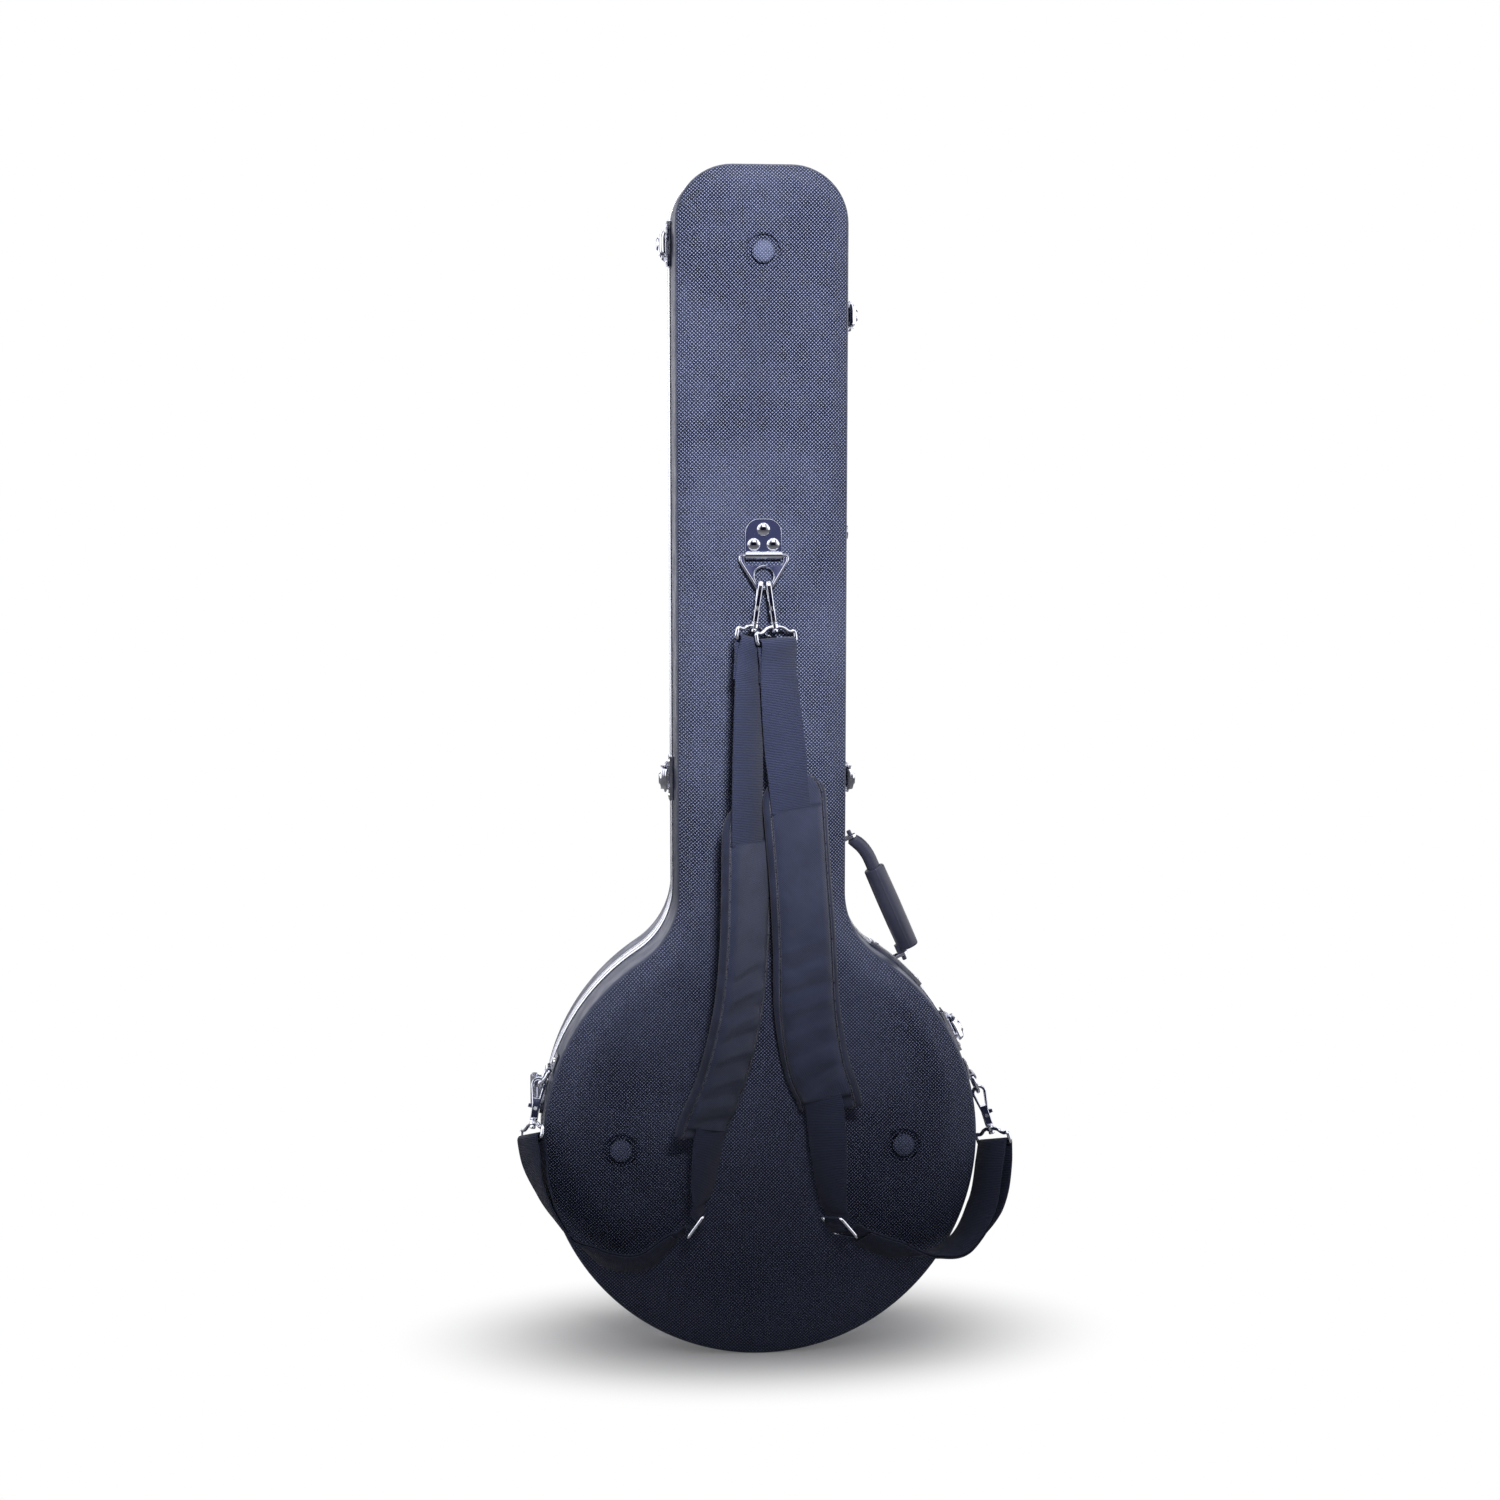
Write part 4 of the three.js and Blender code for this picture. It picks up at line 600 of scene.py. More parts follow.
cover = rounded_slab("plush_cover", cover_low, cover_high, cover_edge)
fitted(cover, plush_pile, "lining", "accessory_cover", "accessory_lid", crease=60)
ribbon_z = (cover_low.z + cover_high.z) / 2
ribbon_from = (cover_high.x - ribbon_reach, cover_high.y - ribbon_thickness / 2, ribbon_z - ribbon_half)
ribbon_to = (cover_high.x - ribbon_reach / 4, cover_high.y + ribbon_thickness, ribbon_z + ribbon_half)
ribbon = rounded_slab("cover_ribbon", ribbon_from, ribbon_to, ribbon_thickness / 3)
fitted(ribbon, plush_pile, "lining", "accessory_cover")

# The draw latches are pressed and plated steel: a riveted plate with two ears, a domed lever,
# and a wire bail that pulls on the catch of the lid. Two are on each side of the neck and one
# is on the bout. Plates and catches keep their CAD shape.
lever_half_width = 0.009
latch_pivot_height = 0.006
latch_pivot_back = 0.007
lever_length = 0.0205
lever_thickness = 0.0014
lever_hub = 0.0029
lever_outer = [
    (0.0030, 0.0), (0.0038, 0.0055), (0.0038, 0.0105), (0.0028, 0.0155), (0.0006, 0.0192), (-0.0006, 0.0205),
]
lever_edge = 0.0004
lever_fall = 0.0009
lever_pin_radius = 0.0011
lever_pin_reach = 0.0015
lever_boss_radius = 0.0052
lever_boss_height = 0.0012
lever_boss_along = 0.0088
lever_boss_foot = 1.15
lever_boss_slope = 4
bail_wire = 0.001
bail_clearance = 0.0003
bail_half_span = 0.0122
bail_pivot = (0.00515, -0.011927)
bail_bar = (0.0031, 0.0075)
bail_corner = 0.002
bout_latch_angle = math.radians(25.8)
latch_heights = {
    "left_upper": (-1, case_length - 0.066),
    "left_lower": (-1, shoulder_z + 0.0961),
    "right_upper": (1, case_length - 0.126),
    "right_lower": (1, shoulder_z + 0.0946),
}


def plated(name, colour, roughness, edge=0.0, metal=1.0):
    """Bright plating over pressed metal. Its edges can be shaded round."""
    finish = Finish(name, colour, roughness, metal)
    smear = finish.noise(140.0, 4.0)
    finish.rough(finish.ramp(smear, 0.4, 0.75, roughness, roughness + 0.12))
    rounded = None
    if edge:
        soft = finish.node("Bevel", Radius=edge)
        soft.samples = 4
        rounded = soft.outputs[0]
    finish.bump(finish.noise(420.0, 2.0), 0.00001, 0.6, rounded)
    return finish.material


chrome = plated("chrome", shade(232, 234, 242), 0.07)
pressed_chrome = plated("pressed_chrome", shade(226, 228, 238), 0.1, 0.0005)


def side_frame(x, z, angle):
    """X points out of the case side, Y along the depth and Z along the outline."""
    out = Vector((math.cos(angle), 0, math.sin(angle)))
    along = Vector((-math.sin(angle), 0, math.cos(angle)))
    return framed(Vector((x, parting_y, z)), out, along)


def framed(place, out, along):
    """A frame at a place, with X out and Z along."""
    along = Vector(along).normalized()
    out = Vector(out)
    out = (out - along * out.dot(along)).normalized()
    across = along.cross(out)
    return Matrix.Translation(Vector(place)) @ Matrix((out, across, along)).transposed().to_4x4()


def moved(part, matrix):
    points, faces = part
    return [matrix @ Vector(p) for p in points], faces


def rounded_path(points, radius, steps=5, closed=False):
    """A path with its corners rounded off."""
    points = [Vector(p) for p in points]
    count = len(points)
    path = []
    for i, point in enumerate(points):
        if not closed and i in (0, count - 1):
            path.append(point)
            continue
        before, after = points[i - 1], points[(i + 1) % count]
        reach = min(radius, (before - point).length / 2, (after - point).length / 2)
        a = point + (before - point).normalized() * reach
        c = point + (after - point).normalized() * reach
        path += [bend(a, point, c, j / steps) for j in range(steps + 1)]
    return path


def lever_shape():
    """A domed lever with a raised round boss and a lip at its free end, its hub and its pin."""
    steps, across_steps = 30, 20
    half = lever_half_width
    rings = []
    for i in range(steps + 1):
        along = lever_length * i / steps
        for (h0, a0), (h1, a1) in zip(lever_outer, lever_outer[1:]):
            if a0 <= along <= a1 + 1e-9:
                t = (along - a0) / (a1 - a0)
                height = h0 + (h1 - h0) * (3 * t * t - 2 * t ** 3)
        top = []
        for j in range(across_steps + 1):
            share = 2 * j / across_steps - 1
            from_boss = math.hypot(along - lever_boss_along, half * share) / lever_boss_radius
            boss = lever_boss_height * max(0.0, min(1.0, (lever_boss_foot - from_boss) * lever_boss_slope))
            top.append(Vector((height - lever_fall * share ** 4 + boss, -along, half * share)))
        under = [Vector((p.x - lever_thickness, p.y, p.z)) for p in reversed(top)]
        rings.append(top + under)
    rim = lever_hub - lever_edge
    hub_profile = [(rim, 0), (lever_hub, lever_edge), (lever_hub, 2 * half - lever_edge), (rim, 2 * half)]
    hub = lathe(hub_profile, (0, 0, -half), (0, 0, 1), 24)
    pin_half = half + lever_pin_reach
    pin_profile = [(lever_pin_radius, 0), (lever_pin_radius, 2 * pin_half)]
    pin = lathe(pin_profile, (0, 0, -pin_half), (0, 0, 1), 16)
    return merged(loft(rings), hub, pin)


def bail_shape():
    """A wire bracket from one ear of the lever round its bar to the other."""
    inner = lever_half_width + bail_clearance
    half = [(*bail_pivot, inner), (*bail_pivot, bail_half_span), (*bail_bar, bail_half_span)]
    points = [(x, y, -z) for x, y, z in half] + half[::-1]
    return wire(rounded_path(points, bail_corner), bail_wire)


latch_frames = {
    name: side_frame(side * neck_half_at(z), z, 0 if side > 0 else math.pi)
    for name, (side, z) in latch_heights.items()
}
latch_frames["bout"] = side_frame(
    body_half_width * math.cos(bout_latch_angle),
    body_centre_z + body_half_width * math.sin(bout_latch_angle),
    bout_latch_angle,
)
lever_part = moved(lever_shape(), Matrix.Translation((latch_pivot_height, -latch_pivot_back, 0)))
for name, place in latch_frames.items():
    lever = new_object(f"domed_lever_{name}", *moved(lever_part, place))
    fitted(lever, chrome, "chrome", f"lever_{name}", f"latch_lever_{name}")
    bail = new_object(f"wire_bail_{name}", *moved(bail_shape(), place))
    fitted(bail, chrome, "chrome", f"bail_{name}", f"latch_bail_{name}")


def refinished(finish, *nodes):
    """A CAD node keeps its shape and gets its real finish."""
    for node in nodes:
        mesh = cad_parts[node].data
        for i in range(len(mesh.materials)):
            mesh.materials[i] = finish
        if not mesh.materials:
            mesh.materials.append(finish)


for name in latch_frames:
    refinished(pressed_chrome, f"latch_plate_{name}", f"latch_catch_{name}")

# The key lock, the hinges and the brackets of the handle are plated pressings too. They are
# riveted through the edging and the wall, and the hinge pins are turned.
refinished(pressed_chrome, "key_lock", "side_anchor_right", "side_anchor_left")
for name in ("upper", "lower"):
    refinished(pressed_chrome, f"handle_bracket_{name}")
    refinished(pressed_chrome, f"hinge_base_leaf_{name}", f"hinge_lid_leaf_{name}", f"hinge_pin_{name}")

# The handle is a flexible core moulded in smooth black rubber, with a thicker grip pushed over
# it. The core swings on a pin in each bracket.
handle_rise = 0.0075
handle_stand_off = 0.0087
handle_depth = 0.0085
handle_core_radius = 0.006
handle_neck_radius = 0.0032
handle_ear = 0.0016
handle_elbow_gap = 0.0012
handle_start_gap = 0.0004
handle_foot_gap = 0.002
handle_lug_radius = 0.0042
handle_lug_length = 0.008
handle_pin_radius = 0.002
handle_pin_half = 0.006
grip_radius = 0.0094
grip_start = 0.034
grip_end_gap = 0.0015
grip_rounding = 0.0018
grip_belly = 0.0004
grip_seam = 0.0003
grip_clearance = 0.0003
handle_top_z = shoulder_z + 0.0411
handle_foot_angle = shoulder_angle - 0.403 * 0.060 / body_half_width
handle_top = Vector((neck_half_at(handle_top_z) + handle_stand_off, parting_y - handle_depth, handle_top_z))
handle_reach = body_half_width + handle_stand_off
handle_foot = Vector((handle_reach * math.cos(handle_foot_angle), parting_y - handle_depth,
                      body_centre_z + handle_reach * math.sin(handle_foot_angle)))
handle_span = (handle_top - handle_foot).length
handle_frame = framed(handle_top, (1, 0, 0), handle_top - handle_foot)


def smooth_rubber():
    finish = Finish("smooth_rubber", shade(40, 41, 54), 0.36, Specular_IOR_Level=0.5)
    worn = finish.noise(26.0)
    finish.colour(finish.tint(worn, shade(30, 31, 42), shade(56, 57, 73)))
    finish.rough(finish.ramp(worn, 0.35, 0.7, 0.3, 0.48))
    finish.bump(finish.noise(700.0, 2.0), 0.00006)
    return finish.material


rubber = smooth_rubber()


def curve_points(controls, steps):
    """A smooth run between four control points."""
    a, b, c, d = (Vector(p) for p in controls)
    made = []
    for i in range(steps + 1):
        t = i / steps
        made.append(a * (1 - t) ** 3 + b * 3 * t * (1 - t) ** 2 + c * 3 * t * t * (1 - t) + d * t ** 3)
    return made


def handle_core():
    """The core bends out of the upper bracket, and ends in a lug on the lower bracket's pin."""
    steps = 20
    start = handle_ear + handle_elbow_gap
    bend_end = grip_start - handle_rise
    elbow = [
        (0, 0, -start), (handle_rise * 0.8, 0, -start - handle_rise),
        (handle_rise, 0, handle_rise - bend_end), (handle_rise, 0, -bend_end),
    ]
    path = [Vector((0, 0, -handle_ear - handle_start_gap))] + curve_points(elbow, steps)
    path.append(Vector((handle_rise, 0, -(handle_span - handle_ear - handle_foot_gap))))
    swelling = [min(1.0, 0.86 + 0.14 * math.sqrt(i / 4)) for i in range(steps + 1)]
    radii = [handle_neck_radius] + [handle_core_radius * share for share in swelling] + [handle_core_radius]
    side = Vector((0, 1, 0))
    rings = []
    for i, (point, radius) in enumerate(zip(path, radii)):
        run = (path[min(i + 1, len(path) - 1)] - path[max(i - 1, 0)]).normalized()
        rings.append(circle(point, side.cross(run).normalized(), side, radius, 28))
    lug_profile = [(handle_lug_radius, 0), (handle_lug_radius, handle_lug_length)]
    lug = lathe(lug_profile, (0, 0, handle_ear - handle_span), (0, 0, 1), 24)
    edge = 0.0004
    pin_end = [(handle_pin_radius, handle_pin_half - edge), (handle_pin_radius - edge, handle_pin_half)]
    pin_profile = [(radius, -height) for radius, height in reversed(pin_end)] + pin_end
    pins = [lathe(pin_profile, (0, 0, z), (0, 0, 1), 20) for z in (0, -handle_span)]
    return merged(loft(rings), lug, *pins)


def handle_grip():
    """A sleeve with rounded ends, a slight belly and a moulding line on each side."""
    sides, belly_steps = 64, 12
    top = -grip_start
    end = handle_ear + grip_end_gap - handle_span
    bore = handle_core_radius + grip_clearance
    profile = [(bore, end), (grip_radius - grip_rounding, end)]
    turns = [math.pi / 8 * i for i in range(5)]
    for turn in turns[1:]:
        out = grip_radius - grip_rounding * (1 - math.sin(turn))
        profile.append((out, end + grip_rounding * (1 - math.cos(turn))))
    for i in range(1, belly_steps):
        share = i / belly_steps
        height = end + grip_rounding + (top - end - 2 * grip_rounding) * share
        profile.append((grip_radius + grip_belly * math.sin(math.pi * share), height))
    for turn in turns:
        out = grip_radius - grip_rounding * (1 - math.cos(turn))
        profile.append((out, top - grip_rounding * (1 - math.sin(turn))))
    profile.append((bore, top))
    rings = []
    for radius, height in profile:
        ring = circle(Vector((handle_rise, 0, height)), Vector((1, 0, 0)), Vector((0, 1, 0)), radius, sides)
        if radius > bore:
            ring[sides // 4].y += grip_seam
            ring[sides * 3 // 4].y -= grip_seam
        rings.append(ring)
    return loft(rings, closed=True)


core = new_object("rubber_core", *moved(handle_core(), handle_frame))
fitted(core, rubber, "handle_rubber", "handle", "handle_core")
grip = new_object("rubber_grip", *moved(handle_grip(), handle_frame))
fitted(grip, rubber, "handle_rubber", "handle", "handle_grip")

# The strap anchor on the back of the neck is a plated plate with three domed rivets. Its lower
# edge is rolled into an eye, and a pressed ring plate with raised rims hangs in that eye.
anchor_z = case_length * 0.6798
anchor_half_width = 0.0156
anchor_height = 0.031
anchor_corner = 0.012
anchor_thickness = 0.0015
anchor_gap = 0.0003
anchor_edge = 0.0006
anchor_eye_radius = 0.0036
anchor_eye_bore = 0.0024
rivet_radius = 0.0059
rivet_height = 0.0028
rivet_places = [(0, 0.0220), (-0.0082, 0.0090), (0.0082, 0.0090)]
ring_lean = math.radians(12)
ring_thickness = 0.0025
ring_top_half = 0.0215
ring_foot_half = 0.0065
ring_shoulder = 0.005
ring_length = 0.030
ring_hole_radius = 0.0090
ring_hole_z = -0.0183
ring_rim_wire = 0.00125
ring_bar = 0.0015
ring_slot_half = anchor_half_width + 0.0012
ring_slot_foot = 0.009
ring_rim_inset = 0.0012
ring_corner = 0.003
ring_slot_corner = 0.0012
ring_edge = 0.0004

# Plating painted dark navy: a painted reflection of a dark room for the flat faces of plated parts.
painted_reflection_chrome = plated("painted_reflection_chrome", shade(50, 54, 82), 0.16, metal=0.5)


def painted_dark_front(piece, place, out, level):
    """Gives the piece's flat front and back, at most a level from a place, the plating painted dark as a
    painted reflection of a dark room.
    """
    out = Vector(out)
    piece.data.materials.append(painted_reflection_chrome)
    for face in piece.data.polygons:
        height = (face.center - Vector(place)).dot(out)
        if abs(face.normal.dot(out)) > 0.97 and abs(height) < level:
            face.material_index = 1


def upright(points):
    return [Vector((x, 0, z)) for x, z in points]


def both_sides(half):
    """A loop from its left half, given from the top down."""
    return half + [(-x, z) for x, z in reversed(half)]


def rounded_loop(points, radius, steps):
    return [(p.x, p.z) for p in rounded_path(upright(points), radius, steps, True)]


def arc_points(centre, radius, start, end, steps):
    x, z = centre
    angles = [start + (end - start) * i / steps for i in range(steps + 1)]
    return [(x + radius * math.cos(a), z + radius * math.sin(a)) for a in angles]


def plate(loops, thickness, edge):
    """A flat plate in X and Z with round edges: the first loop is its outline, the rest are holes."""
    curve = bpy.data.curves.new("plate", "CURVE")
    curve.dimensions = "2D"
    curve.fill_mode = "BOTH"
    curve.extrude = thickness / 2 - edge
    curve.bevel_depth = edge
    curve.bevel_resolution = 3
    curve.offset = -edge
    for i, loop in enumerate(loops):
        area = sum(a[0] * b[1] - b[0] * a[1] for a, b in zip(loop, loop[1:] + loop[:1]))
        if (area > 0) != (i == 0):
            loop = loop[::-1]
        spline = curve.splines.new("POLY")
        spline.points.add(len(loop) - 1)
        for point, (x, z) in zip(spline.points, loop):
            point.co = (x, z, 0, 1)
        spline.use_cyclic_u = True
    holder = bpy.data.objects.new("plate", curve)
    bpy.context.collection.objects.link(holder)
    graph = bpy.context.evaluated_depsgraph_get()
    mesh = bpy.data.meshes.new_from_object(holder.evaluated_get(graph))
    made = bmesh.new()
    made.from_mesh(mesh)
    bmesh.ops.remove_doubles(made, verts=made.verts, dist=1e-6)
    bmesh.ops.dissolve_degenerate(made, edges=made.edges, dist=1e-6)
    made.verts.index_update()
    points = [Vector((v.co.x, -v.co.z, v.co.y)) for v in made.verts]
    faces = [tuple(v.index for v in face.verts) for face in made.faces]
    made.free()
    bpy.data.objects.remove(holder)
    return points, faces


def anchor_plate():
    """The plate with two round corners at its top, the rolled eye at its foot, and the rivets."""
    half, corner = anchor_half_width, anchor_corner
    shape = [(-half, 0), (half, 0)]
    shape += arc_points((half - corner, anchor_height - corner), corner, 0, math.pi / 2, 12)
    shape += arc_points((corner - half, anchor_height - corner), corner, math.pi / 2, math.pi, 12)
    middle = Matrix.Translation((0, -(anchor_gap + anchor_thickness / 2), 0))
    sheet = moved(plate([shape], anchor_thickness, anchor_edge), middle)
    tube = [
        (anchor_eye_radius, -half), (anchor_eye_radius, half),
        (anchor_eye_bore, half), (anchor_eye_bore, -half),
    ]
    eye_y = -anchor_gap - anchor_eye_radius
    eye = loft([
        circle(Vector((x, eye_y, 0)), Vector((0, 1, 0)), Vector((0, 0, 1)), radius, 32)
        for radius, x in tube
    ], closed=True)
    head = arc(rivet_radius, rivet_height, 10, anchor_thickness / 2)
    front_y = -(anchor_gap + anchor_thickness)
    heads = [lathe(head, (x, front_y, z), (0, -1, 0)) for x, z in rivet_places]
    return merged(sheet, eye, *heads)


def anchor_ring():
    """A plate with a slot for the anchor's eye and a hole for the hooks, and a rim round each."""
    left = [(-ring_top_half, ring_bar), (-ring_top_half, -ring_shoulder), (-ring_foot_half, -ring_length)]
    slot = [
        (-ring_slot_half, -ring_bar),
        (-ring_slot_half, -ring_shoulder),
        (-anchor_half_width, -ring_slot_foot),
    ]
    hole = arc_points((0, ring_hole_z), ring_hole_radius, 0, 2 * math.pi, 40)[:-1]
    loops = [
        rounded_loop(both_sides(left), ring_corner, 5),
        rounded_loop(both_sides(slot), ring_slot_corner, 4),
        hole,
    ]
    body = plate(loops, ring_thickness - 2 * ring_edge, ring_edge)
    edge = [
        (ring_rim_inset - ring_top_half, -0.0005), (ring_rim_inset - ring_top_half, -ring_shoulder),
        (ring_rim_inset / 2 - ring_foot_half, ring_rim_inset - ring_length),
    ]
    rim = wire(rounded_path(upright(both_sides(edge)), ring_corner, 6, True), ring_rim_wire, True)
    around_hole = arc_points((0, ring_hole_z), ring_hole_radius, 0, 2 * math.pi, 48)[:-1]
    collar = wire(upright(around_hole), ring_rim_wire * 0.75, True)
    return merged(body, rim, collar)


anchor_place = Matrix.Translation((0, back_face_y, anchor_z))
anchor = new_object("riveted_anchor", *moved(anchor_plate(), anchor_place))
fitted(anchor, chrome, "chrome", "case", "strap_anchor_plate")
anchor_front = anchor_gap + anchor_thickness + 0.0002
# The anchor's and the ring plate's flat faces get the painted dark reflection.
painted_dark_front(anchor, (0, back_face_y, 0), (0, 1, 0), anchor_front)
ring_hang = (0, math.sin(ring_lean), math.cos(ring_lean))
ring_place = framed((0, back_face_y - anchor_gap - anchor_eye_radius, anchor_z), (1, 0, 0), ring_hang)
ring_plate = new_object("rimmed_ring_plate", *moved(anchor_ring(), ring_place))
fitted(ring_plate, chrome, "chrome", "case", "strap_anchor_ring")
painted_dark_front(ring_plate, ring_place.to_translation(), ring_place.col[1].xyz, ring_thickness / 2)

# Four die-cast snap hooks carry the straps. Each has a long eye with a spring trigger, and a
# riveted stem that turns in the boss of a bent wire loop. The side hooks hang in wire D rings.
hook_thickness = 0.0044
hook_eye_half = 0.004
hook_eye_length = 0.016
hook_eye_foot = 0.0022
hook_rim = 0.0026
hook_neck_half = 0.0034
hook_neck_start = 0.021
hook_body_end = 0.0342
hook_reach = 0.036
hook_edge = 0.0011
loop_wire = 0.0017
loop_half = 0.0203
loop_drop = 0.016
loop_corner = 0.0016
d_ring_half = 0.0113
d_ring_arc_z = -0.0047
d_ring_corner = 0.0025
hooks = {
    "top_right": ((0.00320, -0.08083, 0.68377), (-0.02289, -0.98565, 0.16723), (-0.13369, 0.16879, 0.97654)),
    "top_left": ((-0.00320, -0.08083, 0.68377), (0.02868, -0.98115, 0.19111), (0.14560, 0.19325, 0.97029)),
    "low_right": ((0.19562, -0.03621, 0.23112), (0.95574, 0.02954, 0.29274), (-0.29423, 0.09594, 0.95091)),
    "low_left": ((-0.19445, -0.03493, 0.24536), (-0.98892, 0.06009, 0.13572), (0.14843, 0.40037, 0.90425)),
}
loop_bars = {
    "top_right": (0.86225, 0.50555, 0.03066),
    "top_left": (0.72944, 0.64159, -0.23725),
    "low_right": (0.55435, -0.79335, 0.25157),
    "low_left": (-0.46819, 0.83386, -0.29235),
}
d_rings = {
    "right": ((0.18958, -0.03650, 0.24303), (-0.38268, 0.0, 0.92388)),
    "left": ((-0.18592, -0.03650, 0.25549), (0.51952, 0.0, 0.85446)),
}


def snap_hook():
    """The long eye, its trigger, the head of the trigger's rivet, and the turned stem."""
    neck, neck_z = hook_neck_half, -hook_neck_start
    outer = [(-neck, -hook_body_end), (neck, -hook_body_end), (neck, neck_z)]
    outer += arc_points((0, -hook_eye_half), hook_eye_half + hook_rim, 0, math.pi, 20)
    outer.append((-neck, neck_z))
    eye = [(-hook_eye_foot, -hook_eye_length), (hook_eye_foot, -hook_eye_length)]
    eye += arc_points((0, -hook_eye_half), hook_eye_half, 0, math.pi, 20)
    body = plate([outer, eye], hook_thickness, hook_edge)
    root, tip = neck - 0.0008, neck + 0.0034
    nose = [(root, neck_z + 0.0006), (tip, neck_z - 0.0004), (tip, neck_z - 0.0034), (root, neck_z - 0.0042)]
    trigger = plate([nose], hook_thickness / 2, 0.0005)
    head = [(0.0017, -0.0001), (0.0017, hook_thickness + 0.0006)]
    rivet = lathe(head, (0, -hook_thickness / 2 - 0.0003, neck_z - 0.0045), (0, 1, 0), 20)
    turned = [
        (0.0016, -0.0431), (0.0024, -0.0429), (0.0027, -0.0418), (0.0024, -0.0405), (0.0016, -0.0402),
        (0.0016, -0.0358), (0.0029, -0.0357), (0.0034, -0.0352), (0.0034, -0.0346), (0.0029, -0.0341),
        (0.0018, -0.0339),
    ]
    stem = lathe(turned, (0, 0, 0), (0, 0, 1), 28)
    return merged(body, trigger, rivet, stem)


def strap_loop():
    """The bent wire, from its boss out to the shoulders and down to the straight bar."""
    half = [
        (0.0, -0.0021), (0.0050, -0.0022), (0.0092, -0.0034), (0.0128, -0.0062), (0.0158, -0.0072),
        (0.0186, -0.0064), (loop_half, -0.0076), (loop_half, -0.0118), (loop_half, -0.0142),
        (loop_half - 0.0010, -0.0156), (loop_half - 0.0030, -loop_drop), (0.010, -loop_drop),
        (0.0, -loop_drop),
    ]
    around = half + [(-x, z) for x, z in reversed(half[1:-1])]
    path = rounded_path(upright(around), loop_corner, 4, True)
    boss = [
        (0.0019, 0.0), (0.0030, 0.0), (0.0034, -0.0004),
        (0.0034, -0.0036), (0.0030, -0.004), (0.0019, -0.004),
    ]
    return merged(wire(path, loop_wire, True), lathe(boss, (0, 0, 0), (0, 0, 1), 28))


def d_ring():
    """A straight bar with two small corners, closed by half a circle."""
    half = d_ring_half
    path = upright([(-half, -0.0022), (-half + 0.0007, -0.0007), (-half + 0.0022, 0)])
    path += rounded_path(upright([(-half, 0), (half, 0), (half, d_ring_arc_z)]), d_ring_corner, 6)[1:-1]
    path += upright(arc_points((0, d_ring_arc_z), half, 0, -math.pi, 20))
    return wire(path, loop_wire, True)


for name, (place, out, along) in hooks.items():
    hook_place = framed(place, out, along)
    hook = new_object(f"cast_hook_{name}", *moved(snap_hook(), hook_place))
    fitted(hook, chrome, "chrome", f"hook_{name}", f"snap_hook_{name}")
    # The hooks' flat faces get the painted dark reflection.
    painted_dark_front(hook, place, hook_place.col[1].xyz, hook_thickness / 2 + 0.0002)
    loop_place = framed(Vector(place) - Vector(along) * hook_reach, loop_bars[name], along)
    loop = new_object(f"wire_loop_{name}", *moved(strap_loop(), loop_place))
    fitted(loop, chrome, "chrome", "case", f"strap_loop_{name}")
for name, (place, along) in d_rings.items():
    ring = new_object(f"wire_d_ring_{name}", *moved(d_ring(), framed(place, (0, 1, 0), along)))
    fitted(ring, chrome, "chrome", "case", f"d_ring_{name}")

